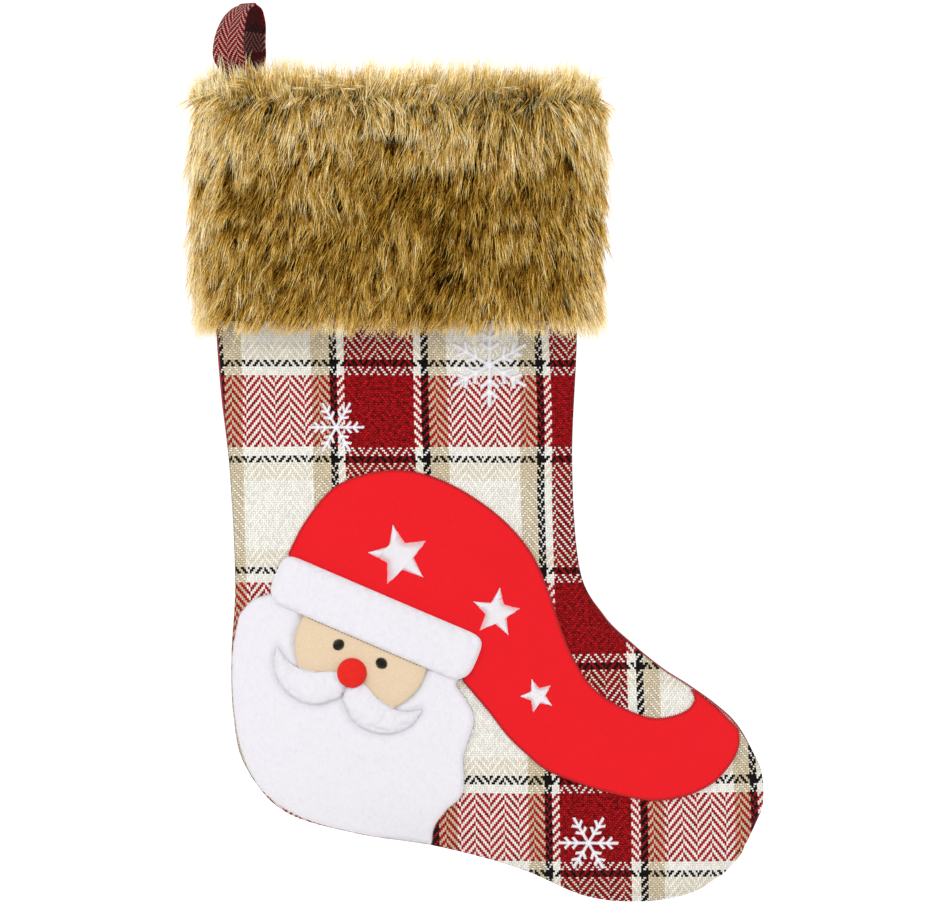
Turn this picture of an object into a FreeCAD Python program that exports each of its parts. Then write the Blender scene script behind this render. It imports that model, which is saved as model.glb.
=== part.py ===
import FreeCAD, Part
import math
import os

# Hanging stocking: two fabric panels sewn edge to edge, a lining, a long-pile cuff folded over the
# mouth, a figure built from applique pieces, and a woven strap loop that swings at its sewn root.
# Frame: the hook seat inside the loop's crown is the origin, +Z up, the decorated front faces -Y and
# the toe points to +X. Everything is in millimetres.

Vec = FreeCAD.Vector
doc = FreeCAD.newDocument("hanging_stocking")

DIMENSIONS = [
    ("rim_drop", 53.0, "hook seat down to the mouth rim"),
    ("heel_reach", 15.8, "hook seat across to the heel-side seam at the rim"),
    ("panel_wide", 195.0, "leg width across the seams at the rim"),
    ("sole_drop", 430.0, "rim down to the lowest point of the sole"),
    ("panel_thick", 1.2, "woven plaid or plain back fabric"),
    ("lining_thick", 0.8, "lining fabric"),
    ("layer_gap", 0.1, "air between two sewn layers"),
    ("facing_thick", 3.0, "turned-in band inside the mouth"),
    ("facing_drop", 40.0, "height of the turned-in band"),
    ("cuff_drop", 121.0, "rim down to the lower edge of the cuff"),
    ("cuff_lip", 7.0, "how far the folded cuff stands above the rim"),
    ("cuff_half_wide", 114.0, "half width of the cuff with its pile laid"),
    ("cuff_half_deep", 37.0, "half depth of the cuff with its pile laid"),
    ("cuff_round", 8.0, "rounding of the cuff's upper and lower edges"),
    ("felt_thick", 1.4, "hat and face fabric"),
    ("plush_thick", 3.2, "beard fabric and its wadding"),
    ("brim_thick", 4.4, "hat brim"),
    ("moustache_thick", 2.4, "each half of the moustache"),
    ("nose_thick", 5.4, "padded nose above the leg panel"),
    ("thread_thick", 0.6, "relief of embroidery thread"),
    ("thread_wide", 0.8, "width of a row of edge stitches"),
    ("strap_wide", 19.0, "loop strap width"),
    ("strap_thick", 2.4, "loop strap, two layers pressed"),
    ("eye_half_wide", 10.4, "half width of the loop's eye"),
    ("pivot_drop", 43.0, "hook seat down to the axis on which the loop swings"),
    ("strap_turn", -39.7, "heading of the strap's width from +X, degrees"),
    ("swing_gap", 0.3, "running gap between the swinging loop and its sewn tail"),
    ("prism_deep", 70.0, "depth of the cutting prisms"),
]

sheet = doc.addObject("Spreadsheet::Sheet", "dimensions")
for row, (alias, value, meaning) in enumerate(DIMENSIONS, start=1):
    sheet.set("A%d" % row, meaning)
    sheet.set("B%d" % row, str(value))
    sheet.setAlias("B%d" % row, alias)
doc.recompute()


def dim(alias):
    """The value of one cell of the sheet, mm."""
    return float(sheet.get(alias))


# The pouch is drawn on a leg frame: x from the heel-side seam at the rim, drop below the rim.
# Each station is a chord across the pouch, from the heel or sole seam to the shin or instep seam,
# and the half depth of the pouch at the middle of that chord. The chords fan round the ankle.
DRAWN_WIDE = 195.0
DRAWN_DROP = 430.0
STATIONS = [
    ((0, 0), (195, 0), 17),
    ((0.5, 67), (195, 67), 18),
    ((1, 127), (194.5, 127), 18.5),
    ((7, 197), (192, 192), 19),
    ((10, 257), (196, 250), 20),
    ((8, 297), (208, 275), 21),
    ((9, 329), (224, 291), 22),
    ((15, 356), (240, 304), 22),
    ((36, 381), (254, 313), 21),
    ((74, 393), (268, 323), 20),
    ((118, 400), (280, 334), 18.5),
    ((163, 412), (289, 348), 17),
    ((199, 427), (294.5, 361), 14),
    ((230, 430), (295, 377), 11),
    ((256, 425.5), (291, 388), 7),
    ((272, 416), (284.5, 401.5), 3),
]


def on_leg(x, drop, y=0.0):
    """A point of the leg frame in the part's frame."""
    across = x * dim("panel_wide") / DRAWN_WIDE
    down = drop * dim("sole_drop") / DRAWN_DROP
    return Vec(across - dim("heel_reach"), y, -dim("rim_drop") - down)


FRONT = -1
BACK = 1
SEAM_OVERRUN = 1.0


def chord_circle(near, far, half_deep):
    """Middle, direction, radius and centre distance of the arc that bulges half_deep over near-far."""
    middle = (near + far) * 0.5
    half_chord = near.distanceToPoint(far) / 2
    along = (far - near).normalize()
    radius = (half_chord ** 2 + half_deep ** 2) / (2 * half_deep)
    return middle, along, radius, radius - half_deep


def lens_wire(near, far, half_deep, offset):
    """Two arcs over the chord near-far, moved out of (or, if negative, into) the pouch by offset."""
    middle, along, radius, centre_back = chord_circle(near, far, half_deep)
    reach = math.sqrt((radius + offset) ** 2 - centre_back ** 2)
    start = middle - along * reach
    end = middle + along * reach
    bulge = Vec(0, half_deep + offset, 0)
    front = Part.Arc(start, middle - bulge, end).toShape()
    back = Part.Arc(end, middle + bulge, start).toShape()
    return Part.Wire([front, back])


def half_lens_wire(near, far, half_deep, offset, side, overrun):
    """One arc of the lens, run on past the seam plane by overrun, and the chord that closes it."""
    middle, along, radius, centre_back = chord_circle(near, far, half_deep)
    reach = math.sqrt((radius + offset) ** 2 - (centre_back - overrun) ** 2)
    flat = middle - Vec(0, side * overrun, 0)
    start = flat - along * reach
    end = flat + along * reach
    arc = Part.Arc(start, middle + Vec(0, side * (half_deep + offset), 0), end).toShape()
    return Part.Wire([arc, Part.makeLine(end, start)])


CHORDS_PER_STATION = 2


def smooth_run(points):
    """A smooth curve that passes point number i at parameter i."""
    curve = Part.BSplineCurve()
    curve.interpolate(Points=points, Parameters=[float(index) for index in range(len(points))])
    return curve


def fan_chords():
    """The stations and the chords half way between them, as (near, far, half depth)."""
    near_run = smooth_run([on_leg(*near) for near, far, half_deep in STATIONS])
    far_run = smooth_run([on_leg(*far) for near, far, half_deep in STATIONS])
    deep_run = smooth_run([Vec(index, 0, station[2]) for index, station in enumerate(STATIONS)])
    chords = []
    for number in range(CHORDS_PER_STATION * (len(STATIONS) - 1) + 1):
        place = number / CHORDS_PER_STATION
        chords.append((near_run.value(place), far_run.value(place), deep_run.value(place).z))
    return chords


def half_pouch(name, side, offset, mouth_rise=0.0, overrun=SEAM_OVERRUN):
    """The front or back half of the pouch as a solid, its surface moved by offset."""
    chords = fan_chords()
    rise = Vec(0, 0, mouth_rise)
    toe_step = (chords[-1][0] + chords[-1][1] - chords[-2][0] - chords[-2][1]).normalize() * offset
    sections = []
    for number, (near, far, half_deep) in enumerate(chords):
        shift = rise if number == 0 else toe_step if number == len(chords) - 1 else Vec(0, 0, 0)
        sections.append(half_lens_wire(near + shift, far + shift, half_deep, offset, side, overrun))
    level = doc.addObject("Part::Feature", name)
    level.Shape = Part.makeLoft(sections, True, True)
    return level


def box(name, corner, size, bound=None):
    """A Part::Box; bound maps its size properties to expressions on the sheet."""
    solid = doc.addObject("Part::Box", name)
    solid.Length, solid.Width, solid.Height = size
    solid.Placement.Base = corner
    for key, expression in (bound or {}).items():
        solid.setExpression(key, expression)
    return solid


def cut(name, base, *tools):
    """base with every tool taken away; the last result carries the name."""
    for number, tool in enumerate(tools, start=1):
        last = number == len(tools)
        result = doc.addObject("Part::Cut", name if last else "%s_step%d" % (name, number))
        result.Base = base
        result.Tool = tool
        base = result
    return base


def common(name, *members):
    """What every member shares."""
    result = doc.addObject("Part::MultiCommon", name)
    result.Shapes = list(members)
    return result


def fuse(name, members):
    """All members joined."""
    result = doc.addObject("Part::MultiFuse", name)
    result.Shapes = members
    return result


def extrusion(name, base, way, length):
    """base swept along way; length is an expression on the sheet."""
    solid = doc.addObject("Part::Extrusion", name)
    solid.Base = base
    solid.DirMode = "Custom"
    solid.Dir = way
    solid.Solid = True
    solid.setExpression("LengthFwd", length)
    return solid


def face_prism(name, face):
    """A solid from a face in the XZ plane, from Y=0 towards -Y."""
    outline = doc.addObject("Part::Feature", name + "_outline")
    outline.Shape = face
    return extrusion(name, outline, Vec(0, -1, 0), "dimensions.prism_deep")


def prism(name, wire):
    """The same from the closed wire round a face."""
    return face_prism(name, Part.Face(wire))


def closed_wire(*runs):
    """One wire from runs of points: a run of two is a line, a longer run a smooth curve."""
    edges = []
    for run in runs:
        if len(run) == 2:
            edges.append(Part.makeLine(run[0], run[1]))
            continue
        curve = Part.BSplineCurve()
        curve.interpolate(run)
        edges.append(curve.toShape())
    return Part.Wire(edges)


# ---------------------------------------------------------------- pouch: panels, linings, facing
REACH = 900.0
front_half = box("front_half", Vec(-REACH / 2, -REACH / 2, -REACH), (REACH, REACH / 2, 2 * REACH))
back_half = box("back_half", Vec(-REACH / 2, 0, -REACH), (REACH, REACH / 2, 2 * REACH))
MOUTH_CLEAR = 12.0

gap = dim("layer_gap")
panel_in = -dim("panel_thick")
lining_out = panel_in - gap
lining_in = lining_out - dim("lining_thick")
facing_out = lining_in - gap
facing_in = facing_out - dim("facing_thick")


def mouth_plug(name, offset, top_rise, bottom_drop):
    """A lens-shaped plug of the mouth between two heights, offset from the skin."""
    sections = []
    near, far, half_deep = STATIONS[0]
    for height in (top_rise, -bottom_drop):
        start = on_leg(*near)
        end = on_leg(*far)
        start.z += height
        end.z += height
        sections.append(lens_wire(start, end, half_deep, offset))
    plug = doc.addObject("Part::Feature", name)
    plug.Shape = Part.makeLoft(sections, True, True)
    return plug


def pouch_layer(name, side, outside, inside):
    """One half of one fabric layer of the pouch, between two offsets from its skin."""
    body = half_pouch(name + "_body", side, outside, overrun=0.0)
    hollow = half_pouch(name + "_hollow", side, inside, MOUTH_CLEAR)
    return cut(name, body, hollow)


front_panel = pouch_layer("front_panel", FRONT, 0.0, panel_in)
back_panel = pouch_layer("back_panel", BACK, 0.0, panel_in)
front_lining = pouch_layer("front_lining", FRONT, lining_out, lining_in)
back_lining = pouch_layer("back_lining", BACK, lining_out, lining_in)
facing_body = mouth_plug("facing_body", facing_out, 0.0, dim("facing_drop"))
facing_hole = mouth_plug("facing_hole", facing_in, MOUTH_CLEAR, dim("facing_drop") + MOUTH_CLEAR)
cuff_facing = cut("cuff_facing", facing_body, facing_hole)

# ---------------------------------------------------------------- cuff: two long-pile halves
cuff_ring = doc.addObject("Part::Ellipse", "cuff_ring")
cuff_ring.setExpression("MajorRadius", "dimensions.cuff_half_wide")
cuff_ring.setExpression("MinorRadius", "dimensions.cuff_half_deep")
cuff_ring.Placement.Base = on_leg(DRAWN_WIDE / 2, 0) - Vec(0, 0, dim("cuff_drop"))
cuff_drum = extrusion("cuff_drum", cuff_ring, Vec(0, 0, 1), "dimensions.cuff_drop + dimensions.cuff_lip")
doc.recompute()


def level_edges(shape):
    """Numbers of the edges that lie at one height."""
    flat = []
    for number, edge in enumerate(shape.Edges, start=1):
        if edge.BoundBox.ZLength < gap:
            flat.append(number)
    return flat


cuff_soft = doc.addObject("Part::Fillet", "cuff_soft")
cuff_soft.Base = cuff_drum
cuff_soft.Edges = [(number, dim("cuff_round"), dim("cuff_round")) for number in level_edges(cuff_drum.Shape)]
cuff_hole = mouth_plug("cuff_hole", facing_in, 2 * MOUTH_CLEAR, MOUTH_CLEAR)

# ---------------------------------------------------------------- loop: strap, sewn tail, bartack
strap_frame = FreeCAD.Placement(Vec(0, 0, 0), FreeCAD.Rotation(Vec(0, 0, 1), dim("strap_turn")))


def strap_point(side, height):
    """A point of the strap's profile: side across the eye, height above the hook seat."""
    return Vec(-dim("strap_wide") / 2, side, height)


# One side of the strap's profile, from its root to its crown. Each point is a share of the eye's half
# width and of the strap's thickness across, and a height above the root.
STRAP_OUTSIDE = [(0, 1, 0), (0.76, 0, 8.5), (1, 1, 15), (1, 1, 24), (1, 0.2, 34), (0.62, 0, 42.5)]
EYE_SIDE = [(0, 0, 3.8), (0.72, 0, 11), (1, 0, 16), (1, 0, 23.6), (0.82, 0, 33), (0.47, 0, 40)]


def mirrored(points):
    """Points of one side of the eye, then their mirror images in reverse order."""
    right = [strap_point(side, height) for side, height in points]
    left = [strap_point(-side, height) for side, height in reversed(points[:-1])]
    return right + left


def loop_faces():
    """The strap's profile, with the eye taken out, and the round root it swings on."""
    thick = dim("strap_thick")
    eye = dim("eye_half_wide")
    root = -dim("pivot_drop")
    outer = [(wide * eye + skin * thick, root + rise) for wide, skin, rise in STRAP_OUTSIDE]
    inner = [(wide * eye + skin * thick, root + rise) for wide, skin, rise in EYE_SIDE]
    bottom = Part.Arc(strap_point(-thick, root), strap_point(0, root - thick), strap_point(thick, root))
    outside = closed_wire(mirrored(outer + [(0, thick)]))
    rim = Part.Wire([outside.Edges[0], bottom.toShape()])
    hole = closed_wire(mirrored(inner + [(0, 0)]))
    return Part.Face(rim).cut(Part.Face(hole))


loop_profile = doc.addObject("Part::Feature", "loop_profile")
loop_profile.Shape = loop_faces()
loop_profile.Placement = strap_frame
strap_way = strap_frame.Rotation.multVec(Vec(1, 0, 0))
hanging_loop = extrusion("hanging_loop", loop_profile, strap_way, "dimensions.strap_wide")

TAIL_SUNK = 0.6
tail_top = -dim("pivot_drop") - dim("strap_thick") - dim("swing_gap")
tail_bottom = -dim("rim_drop") + TAIL_SUNK
tail_corner = strap_frame.multVec(Vec(-dim("strap_wide") / 2, -dim("strap_thick"), tail_bottom))
tail_size = (dim("strap_wide"), 2 * dim("strap_thick"), tail_top - tail_bottom)
loop_seam_tail = box("loop_seam_tail", tail_corner, tail_size, {
    "Length": "dimensions.strap_wide",
    "Width": "2 * dimensions.strap_thick",
})
loop_seam_tail.Placement.Rotation = strap_frame.Rotation
slot_corner = strap_frame.multVec(
    Vec(-dim("strap_wide") / 2 - gap, -dim("strap_thick") - gap, tail_bottom - gap))
tail_slot = box("tail_slot", slot_corner, (dim("strap_wide") + 2 * gap, 2 * dim("strap_thick") + 2 * gap,
                                           3 * MOUTH_CLEAR))
tail_slot.Placement.Rotation = strap_frame.Rotation

# The cuff clears the panel by the relief of the embroidery that runs up under it.
cuff_clear = gap + dim("thread_thick") + gap


def cuff_half(name, side, half_space):
    """One half of the cuff, open where the leg, the mouth and the loop's tail go."""
    whole = common(name + "_whole", cuff_soft, half_space)
    leg = half_pouch(name + "_leg", side, cuff_clear, gap)
    return cut(name, whole, leg, cuff_hole, tail_slot)


cuff_front = cuff_half("cuff_front", FRONT, front_half)
cuff_back = cuff_half("cuff_back", BACK, back_half)

BARTACK_THREADS = 5
BARTACK_PITCH = 3.4
BARTACK_RADIUS = 0.45
BARTACK_LONG = 11.0
bartack_threads = []
for number in range(BARTACK_THREADS):
    across = (number - (BARTACK_THREADS - 1) / 2) * BARTACK_PITCH
    thread = doc.addObject("Part::Cylinder", "bartack_thread_%d" % (number + 1))
    thread.Radius = BARTACK_RADIUS
    thread.Height = BARTACK_LONG
    thread.Placement.Base = strap_frame.multVec(Vec(across, BARTACK_LONG / 2, (tail_top + tail_bottom) / 2))
    thread.Placement.Rotation = strap_frame.Rotation.multiply(FreeCAD.Rotation(Vec(1, 0, 0), 90))
    bartack_threads.append(thread)
bartack_bar = doc.addObject("Part::Cylinder", "bartack_bar")
bartack_bar.Radius = BARTACK_RADIUS
bartack_bar.Height = (BARTACK_THREADS - 1) * BARTACK_PITCH
bartack_bar.Placement.Base = strap_frame.multVec(
    Vec(-(BARTACK_THREADS - 1) / 2 * BARTACK_PITCH, 0, (tail_top + tail_bottom) / 2))
bartack_bar.Placement.Rotation = strap_frame.Rotation.multiply(FreeCAD.Rotation(Vec(0, 1, 0), 90))
loop_bartack = fuse("loop_bartack", bartack_threads + [bartack_bar])

# ---------------------------------------------------------------- figure on the front panel
# The head has its own frame: origin at the nose, side to the head's left-right, rise to its crown,
# tilted so that the figure looks down towards the toe.
HEAD_TILT = 23.0
HEAD_AT = (73.6, 305.6)
BRIM_LOW = 18.0
BRIM_HIGH = 45.0
BRIM_HALF = 58.0
BRIM_CORNER = 8.0
BRIM_BULGE = 2.0


def on_head(side, rise):
    """A point of the head frame in the part's frame."""
    cosine = math.cos(math.radians(HEAD_TILT))
    sine = math.sin(math.radians(HEAD_TILT))
    return on_leg(HEAD_AT[0] + side * cosine + rise * sine, HEAD_AT[1] + side * sine - rise * cosine)


def leg_run(points):
    """A run of leg-frame points in the part's frame."""
    return [on_leg(x, drop) for x, drop in points]


def brim_end(turn):
    """One end of the brim, from its lower corner to its upper one."""
    across = turn * (BRIM_HALF - BRIM_CORNER)
    return [on_head(across, BRIM_LOW), on_head(turn * BRIM_HALF, BRIM_LOW + BRIM_CORNER),
            on_head(turn * (BRIM_HALF + BRIM_BULGE), (BRIM_LOW + BRIM_HIGH) / 2),
            on_head(turn * BRIM_HALF, BRIM_HIGH - BRIM_CORNER / 2), on_head(across, BRIM_HIGH)]


def brim_wire():
    """A long band with softly rounded ends."""
    right = brim_end(1)
    left = brim_end(-1)[::-1]
    return closed_wire([left[-1], right[0]], right, [right[-1], left[0]], left)


# The hat rises from the brim, leans over the shin side and trails along the instep to a curled tip.
HAT_TOP = [(39, 242), (48, 225), (63, 207), (81, 199), (100, 197), (118, 201), (137, 210.5), (156, 225),
           (170, 242), (179, 262), (187.5, 287), (194.5, 302), (202, 313), (212, 321), (224, 327),
           (236, 330.5), (247.5, 329), (255, 325.5), (258, 321), (257.5, 318)]
HAT_INSTEP = [(257.5, 318), (270, 326.5), (281.5, 337.5)]
HAT_UNDER = [(281.5, 337.5), (282, 345.5), (277.5, 355), (268, 365), (256, 371), (243, 374), (229.5, 374),
             (205.5, 368.5), (180, 359), (168, 350), (157, 339.5), (146.5, 326), (133, 310)]
# Its two corners under the brim, in the head frame.
HAT_TUCK_TOE = (BRIM_HALF - 12, BRIM_LOW + 14)
HAT_TUCK_HEEL = (-BRIM_HALF + 8, BRIM_HIGH - 6)


def hat_wire():
    """The hat's cloth, running a little way under the brim."""
    under_brim = [on_leg(*HAT_UNDER[-1]), on_head(*HAT_TUCK_TOE)]
    along_brim = [on_head(*HAT_TUCK_TOE), on_head(*HAT_TUCK_HEEL)]
    rise = [on_head(*HAT_TUCK_HEEL), on_leg(*HAT_TOP[0])]
    return closed_wire(leg_run(HAT_TOP), leg_run(HAT_INSTEP), leg_run(HAT_UNDER), under_brim, along_brim,
                       rise)


# The beard fills the heel, keeping just inside the seam, and ends in three scallops over the arch.
BEARD_HEEL = [(12.5, 275), (9.8, 297), (10.6, 324), (15.5, 350), (26, 369.5), (48, 383), (80, 392),
              (116, 398)]
BEARD_SCALLOPS = [
    [(116, 398), (117.5, 389), (124, 379.5), (133, 370), (133, 350.5)],
    [(133, 350.5), (135.5, 343), (139, 331), (136, 322), (129, 312)],
]
BEARD_CHEEK = (20, 267)
BEARD_TUCK_TOE = (BRIM_HALF - 4, BRIM_LOW + 4)
BEARD_TUCK_HEEL = (-BRIM_HALF + 3, BRIM_LOW + 5)


def beard_wire():
    """The beard, running a little way under the brim."""
    to_brim = [on_leg(*BEARD_SCALLOPS[1][-1]), on_head(*BEARD_TUCK_TOE)]
    along_brim = [on_head(*BEARD_TUCK_TOE), on_head(*BEARD_TUCK_HEEL)]
    cheek = [on_head(*BEARD_TUCK_HEEL), on_leg(*BEARD_CHEEK), on_leg(*BEARD_HEEL[0])]
    runs = [leg_run(run) for run in BEARD_SCALLOPS]
    return closed_wire(leg_run(BEARD_HEEL), *runs, to_brim, along_brim, cheek)


# The face in the head frame: half width, chin line, how far it runs under the brim, the height at
# which its sides start to turn in, and its round cheeks as (in from the side, above the chin line).
FACE_HALF = 36.0
FACE_LOW = -12.0
FACE_UNDER = 3.0
CHEEK_TOP = 6.0
CHEEKS = [(8.0, 3.0), (16.0, 0.0)]


def face_side(turn, grow):
    """One side of the face, from under the brim round the cheek to the chin line."""
    half = FACE_HALF + grow
    low = FACE_LOW - grow
    cheek = [on_head(turn * (half - inward), low + above) for inward, above in CHEEKS]
    return [on_head(turn * half, BRIM_LOW + FACE_UNDER), on_head(turn * half, CHEEK_TOP)] + cheek


def face_wire(grow=0.0):
    """The face: a band under the brim with round cheeks."""
    left = face_side(-1, grow)
    right = face_side(1, grow)[::-1]
    return closed_wire(left, [left[-1], right[0]], right, [right[-1], left[0]])


# Half of the moustache in the head frame: thick beside the nose, drawn out to a lifted tip.
MOUSTACHE_TOP = [(0.6, -2), (9, -3), (21, -8.5), (33, -8.5), (43, -3)]
MOUSTACHE_UNDER = [(43, -3), (39, -15), (28, -23.5), (13, -24), (0.6, -15)]


def moustache_wire(turn):
    """The moustache's half on one side."""
    top = [on_head(turn * side, rise) for side, rise in MOUSTACHE_TOP]
    under = [on_head(turn * side, rise) for side, rise in MOUSTACHE_UNDER]
    return closed_wire(top, under, [under[-1], top[0]])


def disc_wire(centre, radius):
    """A circle on the front."""
    return Part.Wire([Part.Circle(centre, Vec(0, -1, 0), radius).toShape()])


STAR_CORNERS = 10
STAR_HOLLOW = 0.45


def star_wire(x, drop, radius, turn):
    """A five-pointed star with slightly hollow sides."""
    points = []
    for corner in range(STAR_CORNERS):
        reach = radius if corner % 2 == 0 else radius * STAR_HOLLOW
        angle = math.radians(90 + turn + corner * 360 / STAR_CORNERS)
        points.append(on_leg(x + reach * math.cos(angle), drop - reach * math.sin(angle)))
    return Part.makePolygon(points + points[:1])


# A snowflake's sizes as shares of its radius: stroke width, and each pair of barbs as (foot, length).
FLAKE_ARMS = 6
FLAKE_STROKE = 0.11
BARBS = [(0.36, 0.26), (0.62, 0.24)]
BARB_TURN = math.radians(50)


def snowflake_solid(name, x, drop, radius, turn):
    """Six arms, each with two pairs of barbs, as fused bars."""
    wide = FLAKE_STROKE * radius
    bars = []
    strokes = [((0, 0), (1, 0))]
    for foot, reach in BARBS:
        for side in (-1, 1):
            tip = (foot + reach * math.cos(BARB_TURN), side * reach * math.sin(BARB_TURN))
            strokes.append(((foot, 0), tip))
    centre = on_leg(x, drop)
    for arm in range(FLAKE_ARMS):
        heading = math.radians(turn + 360 * arm / FLAKE_ARMS)
        for number, (start, end) in enumerate(strokes):
            bars.append(stroke_bar("%s_arm%d_bar%d" % (name, arm + 1, number + 1), centre, radius, heading,
                                   start, end, wide))
    return fuse(name + "_bars", bars)


def stroke_bar(name, centre, radius, heading, start, end, wide):
    """One straight stroke of a snowflake as a bar that runs through the front panel's depth."""
    first = rotated(start, heading)
    last = rotated(end, heading)
    run = ((last[0] - first[0]) * radius, (last[1] - first[1]) * radius)
    long = math.hypot(*run)
    slope = math.degrees(math.atan2(run[1], run[0]))
    bar = doc.addObject("Part::Box", name)
    bar.Length = long
    bar.Height = wide
    bar.setExpression("Width", "dimensions.prism_deep")
    turn = FreeCAD.Rotation(Vec(0, 1, 0), -slope)
    corner = centre + Vec(first[0] * radius, -dim("prism_deep"), first[1] * radius)
    bar.Placement = FreeCAD.Placement(corner + turn.multVec(Vec(0, 0, -wide / 2)), turn)
    return bar


def rotated(point, heading):
    """A plane point turned by heading about the origin."""
    cosine = math.cos(heading)
    sine = math.sin(heading)
    return (point[0] * cosine - point[1] * sine, point[0] * sine + point[1] * cosine)


STITCH_LONG = 4.0
MITRED = 2


def edge_strip(name, wire, inset):
    """A row of stitches as a strip of even width, inset from a piece's outline."""
    stitches = wire.discretize(Distance=STITCH_LONG)
    if stitches[0].distanceToPoint(stitches[-1]) < STITCH_LONG:
        stitches.pop()
    face = Part.Face(Part.makePolygon(stitches + stitches[:1]))
    outside = face.makeOffset2D(-inset, MITRED)
    inside = face.makeOffset2D(-inset - dim("thread_wide"), MITRED)
    return face_prism(name, outside.cut(inside))


levels = {}


def front_level(offset):
    """The pouch level at this offset, made once."""
    key = round(offset, 3)
    if key not in levels:
        levels[key] = half_pouch("level_front_%d" % round(100 * offset), FRONT, offset)
    return levels[key]


def laid_on(name, solid, low, high, *cutters):
    """The slice of a prism that lies on the front between two offsets from the skin."""
    slab = common(name + "_slab", solid, front_level(high))
    return cut(name, slab, front_level(low), *cutters)


felt_low = gap
felt_high = felt_low + dim("felt_thick")
plush_high = gap + dim("plush_thick")
on_felt = felt_high + gap
on_plush = plush_high + gap
brim_high = gap + dim("brim_thick")
thread = dim("thread_thick")
EYE_AT = (12.5, 11.0)
EYE_RADIUS = 3.2
NOSE_RADIUS = 8.0
STITCH_INSET = 1.0

brim_prism = prism("brim_prism", brim_wire())
nose_prism = prism("nose_prism", disc_wire(on_head(0, 0), NOSE_RADIUS))
face_window = prism("face_window", face_wire(gap))
hat_brim = laid_on("hat_brim", brim_prism, gap, brim_high)
hat = laid_on("hat", prism("hat_prism", hat_wire()), felt_low, felt_high, brim_prism)
beard = laid_on("beard", prism("beard_prism", beard_wire()), gap, plush_high, brim_prism, face_window)
face_patch = laid_on("face_patch", prism("face_prism", face_wire()), felt_low, felt_high, brim_prism)
nose = laid_on("nose", nose_prism, on_felt, gap + dim("nose_thick"))
moustache_high = on_plush + dim("moustache_thick")
pairs = []
for side, turn in (("left", -1), ("right", 1)):
    half = prism("moustache_%s_prism" % side, moustache_wire(turn))
    pairs.append(laid_on("moustache_%s" % side, half, on_plush, moustache_high, nose_prism))
    disc = prism("%s_eye_prism" % side, disc_wire(on_head(turn * EYE_AT[0], EYE_AT[1]), EYE_RADIUS))
    pairs.append(laid_on("%s_eye" % side, disc, on_felt, on_felt + thread))

hat_stitching = laid_on("hat_stitching", edge_strip("hat_strip", hat_wire(), STITCH_INSET),
                        on_felt, on_felt + thread, brim_prism)
beard_stitching = laid_on("beard_stitching", edge_strip("beard_strip", beard_wire(), STITCH_INSET),
                          on_plush, on_plush + thread, brim_prism, face_window)
brim_stitching = laid_on("brim_stitching", edge_strip("brim_strip", brim_wire(), STITCH_INSET),
                         brim_high + gap, brim_high + gap + thread)

STARS = {
    "star_large": (99.0, 243.0, 17.0, 12.0),
    "star_medium": (151.0, 273.5, 13.5, -8.0),
    "star_small": (173.0, 318.0, 9.5, 20.0),
}
star_nodes = []
for name, (x, drop, radius, turn) in STARS.items():
    star = laid_on(name, prism(name + "_prism", star_wire(x, drop, radius, turn)), on_felt, on_felt + thread)
    star_nodes.append(star)

SNOWFLAKES = {
    "snowflake_upper_left": (65.0, 174.0, 15.1, 0.0),
    "snowflake_upper_right": (147.3, 140.5, 22.7, 30.0),
    "snowflake_toe": (200.5, 397.5, 16.2, 0.0),
}
snowflake_nodes = []
for name, (x, drop, radius, turn) in SNOWFLAKES.items():
    flake = laid_on(name, snowflake_solid(name, x, drop, radius, turn), gap, gap + thread)
    snowflake_nodes.append(flake)

doc.recompute()

# ---------------------------------------------------------------- check and write
NODES = [front_panel, back_panel, front_lining, back_lining, cuff_facing, cuff_front, cuff_back,
         hanging_loop, loop_seam_tail, loop_bartack, hat, hat_brim, beard, face_patch, nose,
         hat_stitching, beard_stitching, brim_stitching] + pairs + star_nodes + snowflake_nodes

for item in doc.Objects:
    if "Invalid" in item.State or "Error" in item.State:
        raise RuntimeError("%s did not recompute: %s" % (item.Label, item.State))
for node in NODES:
    if node.Shape.isNull() or not node.Shape.isValid():
        raise RuntimeError("%s has no valid shape" % node.Label)

os.makedirs("parts", exist_ok=True)
for node in NODES:
    node.Shape.exportStep("parts/%s.step" % node.Label)
    print("%s: %.1f mm3, %d solids" % (node.Label, node.Shape.Volume, len(node.Shape.Solids)))
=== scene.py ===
import math
import bpy
import numpy as np
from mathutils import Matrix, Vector, geometry
from mathutils.bvhtree import BVHTree


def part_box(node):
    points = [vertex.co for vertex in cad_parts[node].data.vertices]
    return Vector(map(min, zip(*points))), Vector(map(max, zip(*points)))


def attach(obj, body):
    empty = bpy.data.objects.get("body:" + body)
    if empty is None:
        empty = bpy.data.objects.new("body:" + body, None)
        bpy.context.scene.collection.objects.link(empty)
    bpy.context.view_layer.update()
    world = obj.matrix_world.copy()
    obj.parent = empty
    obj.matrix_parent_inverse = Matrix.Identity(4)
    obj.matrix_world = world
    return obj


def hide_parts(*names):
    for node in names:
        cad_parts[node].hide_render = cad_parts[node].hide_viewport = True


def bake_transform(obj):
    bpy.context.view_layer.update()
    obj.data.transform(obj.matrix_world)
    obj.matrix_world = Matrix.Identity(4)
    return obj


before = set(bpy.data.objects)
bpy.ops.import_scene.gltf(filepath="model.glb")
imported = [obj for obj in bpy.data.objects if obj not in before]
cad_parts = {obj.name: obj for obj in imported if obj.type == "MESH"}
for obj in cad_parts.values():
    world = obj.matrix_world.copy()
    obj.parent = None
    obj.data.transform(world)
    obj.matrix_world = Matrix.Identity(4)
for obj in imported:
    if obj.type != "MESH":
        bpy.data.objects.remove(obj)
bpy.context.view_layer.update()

# Looks of the hanging stocking. Metres, Z up, the decorated front faces -Y, the toe points to +X and
# the origin is the hook seat in the loop's crown. Lengths written in millimetres are multiplied by MM.

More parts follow.
